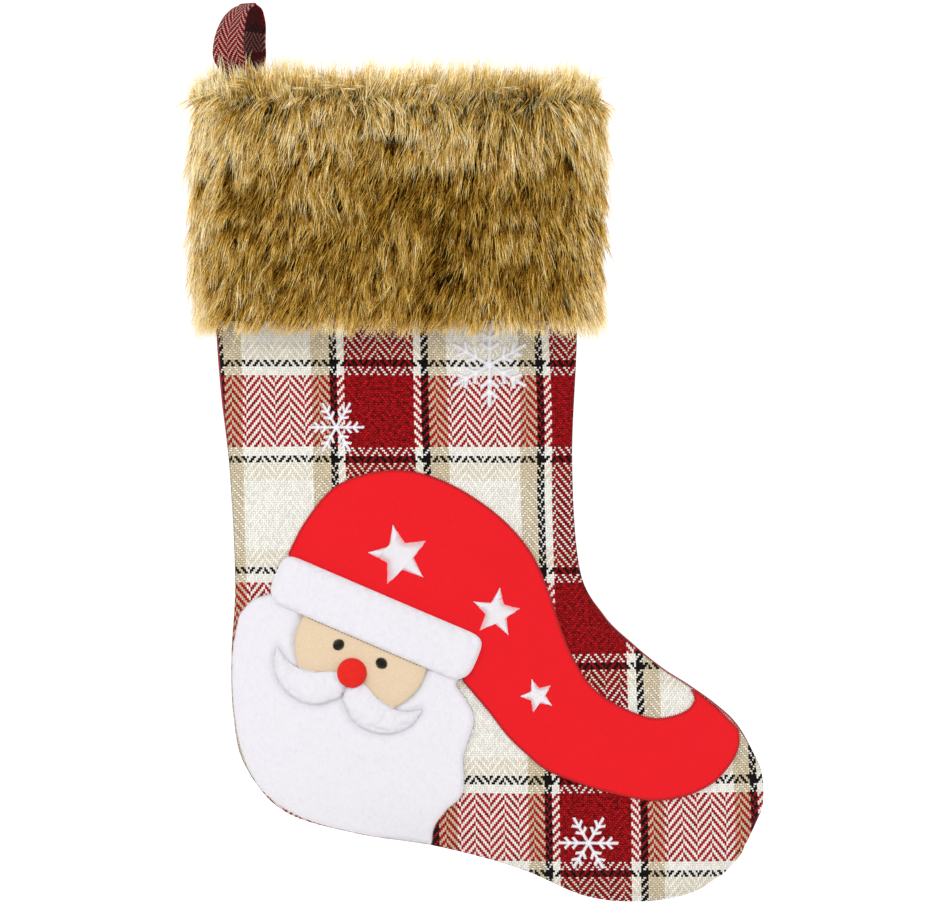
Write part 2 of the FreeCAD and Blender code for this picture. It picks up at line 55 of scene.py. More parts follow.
MM = 0.001
SEED = 1225
BODY = "stocking"
FRONT = -1
BACK = 1
SIDES = ((FRONT, "front"), (BACK, "back"))
HALVES = ((-1, "left"), (1, "right"))
scene = bpy.context.scene

# ------------------------------------------------------------------ sizes from the frame
panel_low, panel_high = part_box("front_panel")
RIM_Z = panel_high[2]
SOLE_Z = panel_low[2]
HEEL_X = panel_low[0]
DRAWN_DROP = 430.0
LEG = (RIM_Z - SOLE_Z) / DRAWN_DROP
PANEL_THICK = 1.2 * MM
cuff_low, cuff_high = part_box("cuff_front")
CUFF_BOTTOM = cuff_low[2]
CUFF_MIDDLE_X = (cuff_low[0] + cuff_high[0]) / 2
CUFF_HALF_DEEP = -cuff_low[1]

# The pouch: chords from the heel or sole seam to the shin or instep seam, each with the half depth at
# its middle, on the leg frame: x from the heel-side seam at the rim, drop below the rim, in mm.
STATIONS = [
    ((0, 0), (195, 0), 17),
    ((0.5, 67), (195, 67), 18),
    ((1, 127), (194.5, 127), 18.5),
    ((7, 197), (192, 192), 19),
    ((10, 257), (196, 250), 20),
    ((8, 297), (208, 275), 21),
    ((9, 329), (224, 291), 22),
    ((15, 356), (240, 304), 22),
    ((36, 381), (254, 313), 21),
    ((74, 393), (268, 323), 20),
    ((118, 400), (280, 334), 18.5),
    ((163, 412), (289, 348), 17),
    ((199, 427), (294.5, 361), 14),
    ((230, 430), (295, 377), 11),
    ((256, 425.5), (291, 388), 7),
    ((272, 416), (284.5, 401.5), 3),
]


def on_leg(x, drop):
    """A leg-frame point as (X, Z) in the row frame."""
    return np.array([HEEL_X + x * LEG, RIM_Z - drop * LEG])


# ------------------------------------------------------------------ plane curves
def unit(vectors):
    """The same vectors at length 1."""
    return vectors / np.maximum(np.linalg.norm(vectors, axis=-1, keepdims=True), 1e-12)


def ramp_up(distance, reach):
    """0 where the distance is 0 or less, 1 from the reach on."""
    return np.clip(distance / reach, 0, 1)


def catmull_rom(points, place):
    """The smooth curve through the rows of points at the fractional row numbers in place."""
    points = np.asarray(points, float)
    padded = np.vstack([2 * points[0] - points[1], points, 2 * points[-1] - points[-2]])
    row = np.clip(np.floor(place).astype(int), 0, len(points) - 2)
    t = (np.asarray(place) - row)[:, None]
    a, b, c, d = (padded[row + k] for k in range(4))
    square = 2 * a - 5 * b + 4 * c - d
    cube = 3 * b - a - 3 * c + d
    return 0.5 * (2 * b + (c - a) * t + square * t ** 2 + cube * t ** 3)


def walked(points):
    """Distance walked along a polyline at each of its points."""
    return np.concatenate([[0], np.cumsum(np.linalg.norm(np.diff(points, axis=0), axis=1))])


def even_run(points, spacing, closed=False):
    """A polyline resampled to even steps near spacing."""
    points = np.asarray(points, float)
    if closed:
        points = np.vstack([points, points[:1]])
    along = walked(points)
    count = max(2, int(round(along[-1] / spacing)))
    places = np.linspace(0, along[-1], count + 1)
    if closed:
        places = places[:-1]
    return np.stack([np.interp(places, along, points[:, k]) for k in range(points.shape[1])], axis=1)


def outline(runs, spacing):
    """A closed outline from runs of points: a run of two is straight, a longer one is smooth."""
    pieces = []
    for run in runs:
        run = np.asarray(run, float)
        if len(run) > 2:
            run = catmull_rom(run, np.linspace(0, len(run) - 1, 12 * len(run)))
        pieces.append(run[:-1])
    return even_run(np.vstack(pieces), spacing, closed=True)


def soften(loop, reach):
    """A closed outline with its corners rounded over about this distance."""
    step = np.mean(np.linalg.norm(np.roll(loop, -1, axis=0) - loop, axis=1))
    half = int(round(2.5 * reach / step))
    offsets = np.arange(-half, half + 1)
    weights = np.exp(-0.5 * (offsets * step / reach) ** 2)
    weights /= weights.sum()
    return sum(weight * np.roll(loop, offset, axis=0) for weight, offset in zip(weights, offsets))


def inward_normals(loop):
    """Unit normals that point into a closed outline."""
    tangent = np.roll(loop, -1, axis=0) - np.roll(loop, 1, axis=0)
    tangent /= np.linalg.norm(tangent, axis=1)[:, None]
    normal = np.stack([-tangent[:, 1], tangent[:, 0]], axis=1)
    area = np.sum(loop[:, 0] * np.roll(loop[:, 1], -1) - np.roll(loop[:, 0], -1) * loop[:, 1])
    return normal if area > 0 else -normal


# Distances are measured for this many points at a time, to save memory.
BLOCK = 2000


def edge_distance(points, loop):
    """Distance from each point to a closed outline, and whether it lies inside."""
    following = np.roll(loop, -1, axis=0)
    run = following - loop
    length2 = np.sum(run ** 2, axis=1)
    distance = np.zeros(len(points))
    inside = np.zeros(len(points), bool)
    for first in range(0, len(points), BLOCK):
        part = points[first:first + BLOCK, None, :]
        offset = part - loop[None]
        t = np.clip(np.sum(offset * run[None], axis=2) / length2[None], 0, 1)
        away = offset - t[..., None] * run[None]
        distance[first:first + BLOCK] = np.sqrt(np.min(np.sum(away ** 2, axis=2), axis=1))
        above = loop[None, :, 1] > part[..., 1]
        above_next = following[None, :, 1] > part[..., 1]
        with np.errstate(divide="ignore", invalid="ignore"):
            cross = loop[None, :, 0] + offset[..., 1] * run[None, :, 0] / run[None, :, 1]
        hits = (above != above_next) & (part[..., 0] < cross)
        inside[first:first + BLOCK] = np.sum(hits, axis=1) % 2 == 1
    return distance, inside


def standing(flat, y):
    """Points (X, Z) of the front plane stood at these Y."""
    return np.stack([flat[..., 0], y, flat[..., 1]], axis=-1)


# ------------------------------------------------------------------ meshes
def stand(name, data, place=(0, 0, 0)):
    """An object with this data, at this place."""
    thing = bpy.data.objects.new(name, data)
    thing.location = place
    scene.collection.objects.link(thing)
    return thing


def make_mesh(name, verts, groups, materials, face_material=None):
    """A mesh from groups of faces, each group an array with one row of point numbers per face."""
    groups = [np.asarray(group, np.int32) for group in groups]
    corners = np.concatenate([group.ravel() for group in groups])
    sizes = np.concatenate([np.full(len(group), group.shape[1]) for group in groups])
    mesh = bpy.data.meshes.new(name)
    mesh.vertices.add(len(verts))
    mesh.vertices.foreach_set("co", np.asarray(verts, np.float32).ravel())
    mesh.loops.add(len(corners))
    mesh.loops.foreach_set("vertex_index", corners)
    mesh.polygons.add(len(sizes))
    mesh.polygons.foreach_set("loop_start", (np.cumsum(sizes) - sizes).astype(np.int32))
    mesh.polygons.foreach_set("use_smooth", [True] * len(sizes))
    for material in materials:
        mesh.materials.append(material)
    if face_material is not None:
        mesh.polygons.foreach_set("material_index", face_material.astype(np.int32))
    mesh.update(calc_edges=True)
    return stand(name, mesh)


def quads(number, wrap=False):
    """Quads over a grid of point numbers, joined round from the last column to the first for a wrap."""
    if wrap:
        number = np.concatenate([number, number[:, :1]], axis=1)
    corners = [number[:-1, :-1], number[:-1, 1:], number[1:, 1:], number[1:, :-1]]
    return np.stack(corners, axis=2).reshape(-1, 4)


def surface_tree(*things):
    """A ray-casting tree over one or more meshes."""
    verts = []
    faces = []
    for thing in things:
        start = len(verts)
        verts.extend(v.co.copy() for v in thing.data.vertices)
        faces.extend([start + k for k in p.vertices] for p in thing.data.polygons)
    return BVHTree.FromPolygons(verts, faces)


RAY_START_Y = -0.3
SEARCH_Y = -0.02


def front_y(tree, points):
    """Y of the first surface met from the front at each (X, Z), or else of the nearest one."""
    found = np.zeros(len(points))
    for number, (x, z) in enumerate(points):
        hit = tree.ray_cast(Vector((x, RAY_START_Y, z)), Vector((0, 1, 0)))[0]
        if hit is None:
            hit = tree.find_nearest(Vector((x, SEARCH_Y, z)))[0]
        found[number] = hit.y
    return found


# ------------------------------------------------------------------ shader building
# The studio's light adds up to more than 1 on a surface that faces it, so a colour that should look
# like a given screen colour is made darker by this much.
STUDIO_GAIN = 1.38


def colour(screen, gain=STUDIO_GAIN):
    """A linear RGBA colour for a surface that should look like this 0-255 screen colour."""
    linear = []
    for part in screen:
        share = part / 255
        value = share / 12.92 if share <= 0.04045 else ((share + 0.055) / 1.055) ** 2.4
        linear.append(value / gain)
    return (*linear, 1.0)


def paint(shade):
    """What goes on a colour socket: a value as it is, a screen colour made linear."""
    return shade if isinstance(shade, Value) else colour(shade)


def shaded(shade, share):
    """A screen colour made darker or lighter."""
    return tuple(min(255, int(part * share)) for part in shade)


def joined_by(operation):
    """A method that joins two values by a math node."""
    return lambda value, other: value.shader.math(operation, value, other)


class Value:
    """A socket of a shader that can be used in sums."""

    def __init__(self, shader, socket):
        self.shader = shader
        self.socket = socket

    __add__ = joined_by("ADD")
    __sub__ = joined_by("SUBTRACT")
    __mul__ = joined_by("MULTIPLY")
    __truediv__ = joined_by("DIVIDE")
    __mod__ = joined_by("FLOORED_MODULO")
    __pow__ = joined_by("POWER")
    __gt__ = joined_by("GREATER_THAN")
    __lt__ = joined_by("LESS_THAN")
    at_most = joined_by("MINIMUM")
    at_least = joined_by("MAXIMUM")

    def __rsub__(self, other):
        return self.shader.math("SUBTRACT", other, self)

    def __abs__(self):
        return self.shader.math("ABSOLUTE", self)

    def floor(self):
        return self.shader.math("FLOOR", self)

    def sine(self):
        return self.shader.math("SINE", self)


class Shader:
    """Builds one procedural material node by node."""

    def __init__(self, name):
        self.material = bpy.data.materials.new(name)
        self.material.use_nodes = True
        self.tree = self.material.node_tree
        self.principled = self.tree.nodes["Principled BSDF"]

    def node(self, kind, **settings):
        made = self.tree.nodes.new(kind)
        for key, value in settings.items():
            setattr(made, key, value)
        return made

    def put(self, socket, value):
        """Links a value to a socket, or sets a plain number or colour on it."""
        if isinstance(value, Value):
            self.tree.links.new(value.socket, socket)
        else:
            socket.default_value = value

    def fed(self, made, values, output=0):
        """An output of a node whose first inputs get these values."""
        for socket, value in zip(made.inputs, values):
            self.put(socket, value)
        return Value(self, made.outputs[output])

    def math(self, operation, *values):
        return self.fed(self.node("ShaderNodeMath", operation=operation), values)

    def join(self, x, y, z):
        return self.fed(self.node("ShaderNodeCombineXYZ"), (x, y, z))

    def grey(self, value):
        return self.join(value, value, value)

    def cell_noise(self, vector):
        return self.fed(self.node("ShaderNodeTexWhiteNoise", noise_dimensions="3D"), [vector], "Value")

    def noise(self, vector, scale, detail=2.0, rough=0.5):
        made = self.node("ShaderNodeTexNoise")
        made.inputs["Scale"].default_value = scale
        made.inputs["Detail"].default_value = detail
        made.inputs["Roughness"].default_value = rough
        return self.fed(made, [vector], "Fac")

    def mix(self, factor, first, second, blend="MIX"):
        made = self.node("ShaderNodeMix", data_type="RGBA", blend_type=blend)
        self.put(made.inputs["Factor"], factor)
        self.put(made.inputs[6], paint(first))
        self.put(made.inputs[7], paint(second))
        return Value(self, made.outputs[2])

    def times(self, first, second):
        return self.mix(1.0, first, second, "MULTIPLY")

    def darker(self, first, second):
        return self.mix(1.0, first, second, "DARKEN")

    def pick(self, choice, if_zero, if_one):
        """if_one where choice is 1, if_zero where it is 0."""
        made = self.node("ShaderNodeMix", data_type="FLOAT")
        self.put(made.inputs["Factor"], choice)
        self.put(made.inputs[2], if_zero)
        self.put(made.inputs[3], if_one)
        return Value(self, made.outputs[0])

    def split_mm(self, source, output):
        """Coordinates from a node in millimetres, as three values."""
        parts = self.node("ShaderNodeSeparateXYZ")
        self.tree.links.new(source.outputs[output], parts.inputs[0])
        return [Value(self, out) * 1000.0 for out in parts.outputs]

    def place(self):
        """Object coordinates."""
        return self.split_mm(self.node("ShaderNodeTexCoord"), "Object")

    def stored(self, attribute):
        """Coordinates stored on the surface."""
        return self.split_mm(self.node("ShaderNodeAttribute", attribute_name=attribute), "Vector")

    def ramp(self, factor, stops, stepped=False):
        made = self.node("ShaderNodeValToRGB")
        band = made.color_ramp
        band.interpolation = "CONSTANT" if stepped else "LINEAR"
        while len(band.elements) < len(stops):
            band.elements.new(0.5)
        for element, (place, shade) in zip(band.elements, stops):
            element.position = place
            element.color = colour(shade)
        return self.fed(made, [factor], "Color")

    def finish(self, shade, rough, height=None, bump=0.3, depth=0.3, sheen=0.0, specular=0.3):
        """Sets the Principled shader; height drives a bump of that depth in mm."""
        sockets = self.principled.inputs
        self.put(sockets["Base Color"], paint(shade))
        self.put(sockets["Roughness"], rough)
        sockets["Specular IOR Level"].default_value = specular
        sockets["Sheen Weight"].default_value = sheen
        sockets["Sheen Roughness"].default_value = 0.5
        if height is not None:
            made = self.node("ShaderNodeBump")
            made.inputs["Strength"].default_value = bump
            made.inputs["Distance"].default_value = depth * MM
            self.put(made.inputs["Height"], height)
            self.tree.links.new(made.outputs["Normal"], sockets["Normal"])
        return self.material


# ------------------------------------------------------------------ woven materials
THREAD_END = 0.99
THREAD_PICK = 1.2
CHEVRON_ENDS = 16
TWILL_STEPS = 4.0
# Half length and half width of each yarn's float, in threads, and how square its ends and sides are.
WEFT_FLOAT = (0.86, 0.46)
WARP_FLOAT = (1.0, 0.56)
FLOAT_ENDS = 6.0
FLOAT_SIDES = 3.0
WARP_SHOWS = 0.5
YARN_DARKEST = 0.86
YARN_VARY = 0.2
LOOSE_FIBRES = 0.11
SETT_REPEAT = 111.8
SETT_REPEAT_ACROSS = 111.0
BEIGE = (214, 199, 167)
PALE_BEIGE = (240, 232, 213)
CREAM = (250, 248, 240)
BLACK = (22, 18, 20)
WARP_RED = (166, 8, 17)
WEFT_RED = (198, 24, 32)
OPEN_LIGHT = (300, 300, 300)
PIT_LIGHT = (250, 250, 250)
# Stripe edges in mm from the start of the first beige stripe, across and down the cloth.
SETT_ACROSS = [(0, BEIGE), (9.4, CREAM), (47.7, BEIGE), (57.1, BLACK), (61.2, CREAM), (65.5, WARP_RED),
               (103.5, CREAM), (107.7, BLACK)]
SETT_DOWN = [(0, PALE_BEIGE), (9.6, CREAM), (45.9, PALE_BEIGE), (55.9, BLACK), (60.2, CREAM),
             (64.8, WEFT_RED), (102.8, CREAM), (107.6, BLACK)]
SETT_START_X = -11.6
SETT_START_Z = -246.2
CLOTH_SKEW = 0.0227
SKEW_FROM_Z = -212.0
DRIFT_ACROSS = 3.0
DRIFT_UP = 2.0
WOVEN = {"rough": 0.9, "bump": 0.55, "depth": 0.4, "sheen": 0.03, "specular": 0.08}


def rounded(value, middle, half, power):
    """1 at the middle falling to 0 at half away, flat-topped for a high power."""
    return (1.0 - (abs(value - middle) / half) ** power).at_least(0.0)


def float_bulge(along, beside, half_long, half_wide):
    """How high a yarn stands where it floats over two others."""
    ends = rounded(along, 1.0, half_long, FLOAT_ENDS)
    return ends.at_most(rounded(beside, 0.5, half_wide, FLOAT_SIDES))


def stripe(shader, number, size, start, sett, way, repeat):
    """The colour of a thread, from the place of its middle in the sett."""
    place = ((number + 0.5) * size - start) * way % repeat / repeat
    return shader.ramp(place, [(edge / SETT_REPEAT, shade) for edge, shade in sett], stepped=True)


def herringbone(shader, across, up, sett_across, sett_down):
    """A 2/2 herringbone twill in two setts; returns its colour and its relief."""
    ends = across / THREAD_END
    picks = up / THREAD_PICK
    end = ends.floor()
    pick = picks.floor()
    in_end = ends - end
    in_pick = picks - pick
    step = end % CHEVRON_ENDS
    falling = step > CHEVRON_ENDS / 2 - 0.5
    chain = shader.pick(falling, step, CHEVRON_ENDS + 1.0 - step)
    phase = (chain - pick) % TWILL_STEPS
    weft_up = phase > 1.5
    along_weft = phase - 2.0 + shader.pick(falling, in_end, 1.0 - in_end)
    along_warp = 1.0 - phase + in_pick
    weft_bulge = float_bulge(along_weft, in_pick, *WEFT_FLOAT)
    warp_bulge = float_bulge(along_warp, in_end, *WARP_FLOAT)
    relief = shader.pick(weft_up, warp_bulge, weft_bulge)
    warp = stripe(shader, end, THREAD_END, SETT_START_X, sett_across, 1.0, SETT_REPEAT_ACROSS)
    weft = stripe(shader, pick, THREAD_PICK, SETT_START_Z, sett_down, -1.0, SETT_REPEAT)
    seen = shader.mix(weft_up, warp, weft)
    # The warp is the fuller yarn, so a dark one shows past the ends and edges of the weft's floats.
    seen = shader.mix(weft_up * (weft_bulge < WARP_SHOWS), seen, shader.darker(seen, warp))
    # Loose fibres carry a little of the darker yarn's colour onto the paler one.
    seen = shader.mix(LOOSE_FIBRES, seen, shader.darker(warp, weft))
    # Painted shade in the pits between the threads: light that falls there comes out tinted twice, so dark
    # yarns show deep pits.
    pit = shader.mix(0.10, shader.times(seen, OPEN_LIGHT), PIT_LIGHT)
    tinted = shader.times(seen, shader.mix(relief ** 0.8, pit, OPEN_LIGHT))
    # Dark yarns are unevenly dyed; pale ones are even.
    blotch = shader.noise(shader.join(across * 0.8, 0.0, up), 0.55, 3.0, 0.7)
    dye = (blotch * 5.0 - 1.75).at_least(0.12).at_most(1.15)
    pale = (seen * 2.4).at_most(1.0)
    yarn = shader.cell_noise(shader.join(end, (pick * 0.5).floor(), 0.0))
    bright = (yarn * YARN_VARY + YARN_DARKEST) * shader.pick(pale, dye, 1.0)
    return shader.times(tinted, shader.grey(bright)), relief


def plaid_material():
    """The plaid of the front panel, laid on the leg with a slight skew towards the toe."""
    shader = Shader("plaid_herringbone")
    x, y, z = shader.place()
    drift = shader.noise(shader.join(x, 0.0, z), 0.012, 1.0) - 0.5
    across = x - (SKEW_FROM_Z - z) * CLOTH_SKEW + drift * DRIFT_ACROSS
    up = z + drift * DRIFT_UP
    shade, relief = herringbone(shader, across, up, SETT_ACROSS, SETT_DOWN)
    return shader.finish(shade, height=relief, **WOVEN)


# The strap is cut along one red column, so only its cross stripes change, in mm from its back root.
STRAP_RED = (150, 6, 14)
STRAP_PALE = (222, 180, 168)
STRAP_FINE = 1.3
# How far the strap's inner face is mixed towards black, as painted shade.
PAINTED_INNER_SHADE = 0.55
STRAP_ACROSS = [(0, STRAP_RED)]
STRAP_DOWN = [(0, STRAP_PALE), (22, STRAP_RED), (30, STRAP_PALE), (44, BLACK), (50, STRAP_RED),
              (71, STRAP_PALE)]


def strap_material():
    """The same cloth on the loop's strap, read from coordinates stored on the strap."""
    shader = Shader("strap_herringbone")
    across, along, depth = shader.stored("strap_place")
    down = SETT_START_Z - along * STRAP_FINE
    shade, relief = herringbone(shader, across * STRAP_FINE, down, STRAP_ACROSS, STRAP_DOWN)
    # Painted shade: the strap's inner face, turned into the loop's eye, is mixed this far towards black.
    shade = shader.mix((depth > 0.3) * PAINTED_INNER_SHADE, shade, BLACK)
    return shader.finish(shade, height=relief, **WOVEN)


def plain_weave(name, shade, thread, vary):
    """A plain one-over-one weave with threads of this width in mm."""
    shader = Shader(name)
    x, y, z = shader.place()
    across = x / thread
    up = z / thread
    end = across.floor()
    pick = up.floor()
    in_end = rounded(across - end, 0.5, 0.55, 2.0)
    in_pick = rounded(up - pick, 0.5, 0.55, 2.0)
    relief = shader.pick((end + pick) % 2.0, in_end, in_pick)
    slub = shader.noise(shader.join(x, 0.0, z), 0.09, 3.0)
    yarn = shader.cell_noise(shader.join(end, pick, 0.0))
    bright = (yarn - 0.5) * vary + (slub - 0.5) * 0.2 + 0.9
    # Painted shade: the colour darkens where the relief is low, at the threads' edges and between them.
    value = bright * (relief * 0.3 + 0.75)
    seen = shader.times(shade, shader.grey(value))
    return shader.finish(seen, 0.9, relief, 0.4, 0.2, sheen=0.15, specular=0.2)


# ------------------------------------------------------------------ felt, plush, thread and pile
def felt_material(name, shade, fleck):
    """Pressed felt: short fibres in every direction and a faint nap."""
    shader = Shader(name)
    x, y, z = shader.place()
    fine = shader.noise(shader.join(x, y, z), 2.6, 4.0, 0.65)
    drawn = shader.noise(shader.join(x * 0.35, y, z), 1.6, 3.0, 0.6)
    fibre = (fine + drawn) * 0.5
    light = tuple(min(255, int(part + (255 - part) * fleck * 0.6)) for part in shade)
    seen = shader.ramp(fibre, [(0.3, shaded(shade, 1 - fleck)), (0.6, shade), (0.8, light)])
    return shader.finish(seen, fibre * 0.2 + 0.68, fibre, 0.25, 0.3, sheen=0.06, specular=0.1)


def plush_material(name, shade):
    """Short dense pile, brushed down, with soft streaks where it parts."""
    shader = Shader(name)
    x, y, z = shader.place()
    streak = shader.noise(shader.join(x, y, z * 0.3), 1.4, 4.0, 0.7)
    tuft = shader.noise(shader.join(x, y, z), 0.35, 3.0, 0.6)
    pile = streak * 0.65 + tuft * 0.35
    seen = shader.ramp(pile, [(0.28, shaded(shade, 0.95)), (0.5, shade), (0.72, shaded(shade, 1.01))])
    return shader.finish(seen, 0.95, pile, 0.4, 0.8, sheen=0.2, specular=0.06)


def thread_material(name, shade, gloss=0.42, specular=0.35):
    """Embroidery thread: fine twisted plies with a soft gloss."""
    shader = Shader(name)
    twist = shader.noise(shader.join(*shader.place()), 4.0)
    seen = shader.ramp(twist, [(0.3, shaded(shade, 0.86)), (0.65, shade)])
    return shader.finish(seen, gloss, twist, 0.2, 0.1, specular=specular)


def knit_material(name, shade):
    """The knitted ground of the pile fabric."""
    shader = Shader(name)
    x, y, z = shader.place()
    loop = (z * 4.2).sine() * ((x + y) * 5.0).sine() * 0.5 + 0.5
    patch = shader.noise(shader.join(x, y, z), 0.12, 3.0)
    # Partly painted shade, partly random tone: darker where the knitted loops' relief is low, and in broad
    # random patches.
    seen = shader.ramp((loop + patch) * 0.5, [(0.2, shaded(shade, 0.6)), (0.8, shade)])
    return shader.finish(seen, 0.95, loop, 0.5, 0.4, sheen=0.2, specular=0.1)


# Pile shades from the dark root to the pale tip, then two grey-olive ones. They are plain materials,
# because each covers tens of thousands of hairs and a pattern on one hair can't be seen.
FUR_SHADES = [(34, 16, 1), (58, 33, 3), (92, 59, 9), (132, 91, 22), (171, 128, 42), (205, 162, 68),
              (228, 194, 112), (242, 218, 150), (248, 234, 194), (140, 126, 76), (192, 178, 128)]
FUR_PALEST = 8
FUR_OLIVE = 9
FUR_OLIVE_PALE = 10
FUR_GAIN = 0.88


def fur_materials():
    """One plain material for each pile shade; the pile shades itself, so it gets brighter colours."""
    made = []
    for number, shade in enumerate(FUR_SHADES):
        shader = Shader("fur_shade_%02d" % number)
        shader.finish(shade, 0.7, specular=0.03)
        shader.principled.inputs["Base Color"].default_value = colour(shade, FUR_GAIN)
        made.append(shader.material)
    return made


plaid = plaid_material()
strap_cloth = strap_material()
red_cloth = plain_weave("red_back_weave", (196, 22, 30), 0.8, 0.2)
lining_cloth = plain_weave("lining_weave", (232, 228, 218), 0.6, 0.1)
red_felt = felt_material("red_felt", (240, 24, 34), 0.07)
nose_felt = felt_material("nose_felt", (244, 40, 30), 0.16)
skin_felt = felt_material("skin_felt", (238, 213, 180), 0.08)
white_plush = plush_material("white_plush", (238, 236, 242))
facing_pile = plush_material("facing_pile", (196, 178, 140))
threads = {
    "white_thread": thread_material("white_thread", (282, 280, 285)),
    "red_thread": thread_material("red_thread", (205, 16, 28)),
    "black_thread": thread_material("black_thread", (12, 10, 12), 0.5, 0.12),
}
ground_knit = knit_material("pile_ground_knit", (122, 104, 62))
fur_shades = fur_materials()


# ------------------------------------------------------------------ camera, light, backdrop
FRAME_WIDE = 0.513
LOOK_AT = (0.1237, 0.0, -0.24)
CAMERA_AWAY = 3.0
SENSOR = 36.0
WORLD_POWER = 1.1
# Name, place, size and power of each lamp; they all point at the stocking.
LAMPS = [
    ("key", (-1.3, -2.2, 1.3), 1.4, 26.0),
    ("fill", (2.0, -2.0, 0.2), 1.6, 8.0),
    ("rear", (0.4, 2.2, 1.4), 1.4, 20.0),
]
FLOOR_HALF = 12.0
FLOOR_DROP = 0.06


def camera_and_light():
    """A long lens square on the front, bright even studio light and a pale floor far below."""
    lens = bpy.data.cameras.new("camera")
    lens.sensor_width = SENSOR
    lens.lens = SENSOR * CAMERA_AWAY / FRAME_WIDE
    lens.clip_end = 60.0
    scene.camera = stand("camera", lens, (LOOK_AT[0], -CAMERA_AWAY, LOOK_AT[2]))
    scene.camera.rotation_euler = (math.radians(90), 0, 0)
    scene.view_settings.view_transform = "Standard"
    scene.world = bpy.data.worlds.new("studio")
    scene.world.use_nodes = True
    sky = scene.world.node_tree.nodes["Background"].inputs
    sky["Color"].default_value = (1, 1, 1, 1)
    sky["Strength"].default_value = WORLD_POWER
    for name, place, size, power in LAMPS:
        lamp = bpy.data.lights.new(name, "AREA")
        lamp.size = size
        lamp.energy = power
        aim = Vector(LOOK_AT) - Vector(place)
        stand(name, lamp, place).rotation_euler = aim.to_track_quat("-Z", "Y").to_euler()
    white = Shader("floor_paint")
    grain = white.noise(white.join(*white.place()), 0.004)
    white.finish(white.ramp(grain, [(0.3, (290, 290, 290)), (0.7, (292, 292, 292))]), 0.9, specular=0.0)
    corners = [(x * FLOOR_HALF, y * FLOOR_HALF, SOLE_Z - FLOOR_DROP)
               for x, y in ((-1, -1), (1, -1), (1, 1), (-1, 1))]
    make_mesh("floor", corners, [[(0, 1, 2, 3)]], [white.material])


camera_and_light()


# ------------------------------------------------------------------ pouch panels and linings
FAN_STEPS = 1200
TIP_ROWS = 7
TIP_REACH = 1.2 * MM
PUCKER_PITCH = 8.5 * MM
PUCKER_REACH = 11.0 * MM
PUCKER_HIGH = 0.55 * MM
ANKLE = (178, 285)
FOLD_HIGH = 0.5 * MM
FOLD_AWAY = 34 * MM
FOLD_REACH = 24 * MM
BROAD_HIGH = 0.8 * MM
# Where the red back shows past the plaid: down to this far below the cuff at the heel seam, and between
# these drops below the rim at the instep seam.
HEEL_SHOWS = 70 * MM
HEEL_FADE = 30 * MM
INSTEP_SHOWS = (255 * MM, 350 * MM)
INSTEP_FADE = 20 * MM


def fan(rows):
    """Chord ends and half depths of the pouch at evenly walked rows, closed round at the toe."""
    near = np.array([on_leg(*station[0]) for station in STATIONS])
    far = np.array([on_leg(*station[1]) for station in STATIONS])
    deep = np.array([[station[2] * LEG] for station in STATIONS])
    fine = np.linspace(0, len(STATIONS) - 1, FAN_STEPS)
    walk = walked(catmull_rom(near, fine)) + walked(catmull_rom(far, fine))
    place = np.interp(np.linspace(0, walk[-1], rows), walk, fine)
    a = catmull_rom(near, place)
    b = catmull_rom(far, place)
    h = catmull_rom(deep, place)[:, 0]
    middle = (a[-1] + b[-1]) / 2
    ahead = a[-1] + b[-1] - a[-3] - b[-3]
    ahead /= np.linalg.norm(ahead)
    half = (b[-1] - a[-1]) / 2
    for turn in np.linspace(0, math.pi / 2, TIP_ROWS + 1)[1:]:
        shrink = max(math.cos(turn), 0.02)
        centre = middle + ahead * TIP_REACH * math.sin(turn)
        a = np.vstack([a, centre - half * shrink])
        b = np.vstack([b, centre + half * shrink])
        h = np.append(h, h[rows - 1] * shrink)
    return a, b, h


def seam_pucker(x, z, edge, side):
    """Outward lift of the cloth: puckers near a seam, slack folds at the ankle and broad swells."""
    wave = np.sin((x + 0.8 * z) * 2 * math.pi / PUCKER_PITCH + 1.7 * side)
    wave += 0.6 * np.sin((x - 1.3 * z) * 2 * math.pi / (1.7 * PUCKER_PITCH))
    lift = PUCKER_HIGH * wave * np.exp(-(edge / PUCKER_REACH) ** 2) * ramp_up(edge, 2.5 * MM)
    ankle = on_leg(*ANKLE)
    away = np.hypot(x - ankle[0], z - ankle[1])
    bearing = np.arctan2(z - ankle[1], x - ankle[0])
    fold = np.cos(bearing * 7 + 1.3 * np.sin(bearing * 3 + side) + away * 45)
    ring = np.exp(-((away - FOLD_AWAY) / FOLD_REACH) ** 2)
    lift += FOLD_HIGH * fold * (1 + 0.6 * np.sin(bearing * 2 + 1)) * ring
    broad = np.sin(x * 61 + 2 * side) * np.sin(z * 43 + side)
    return lift + BROAD_HIGH * broad * ramp_up(edge, 20 * MM)


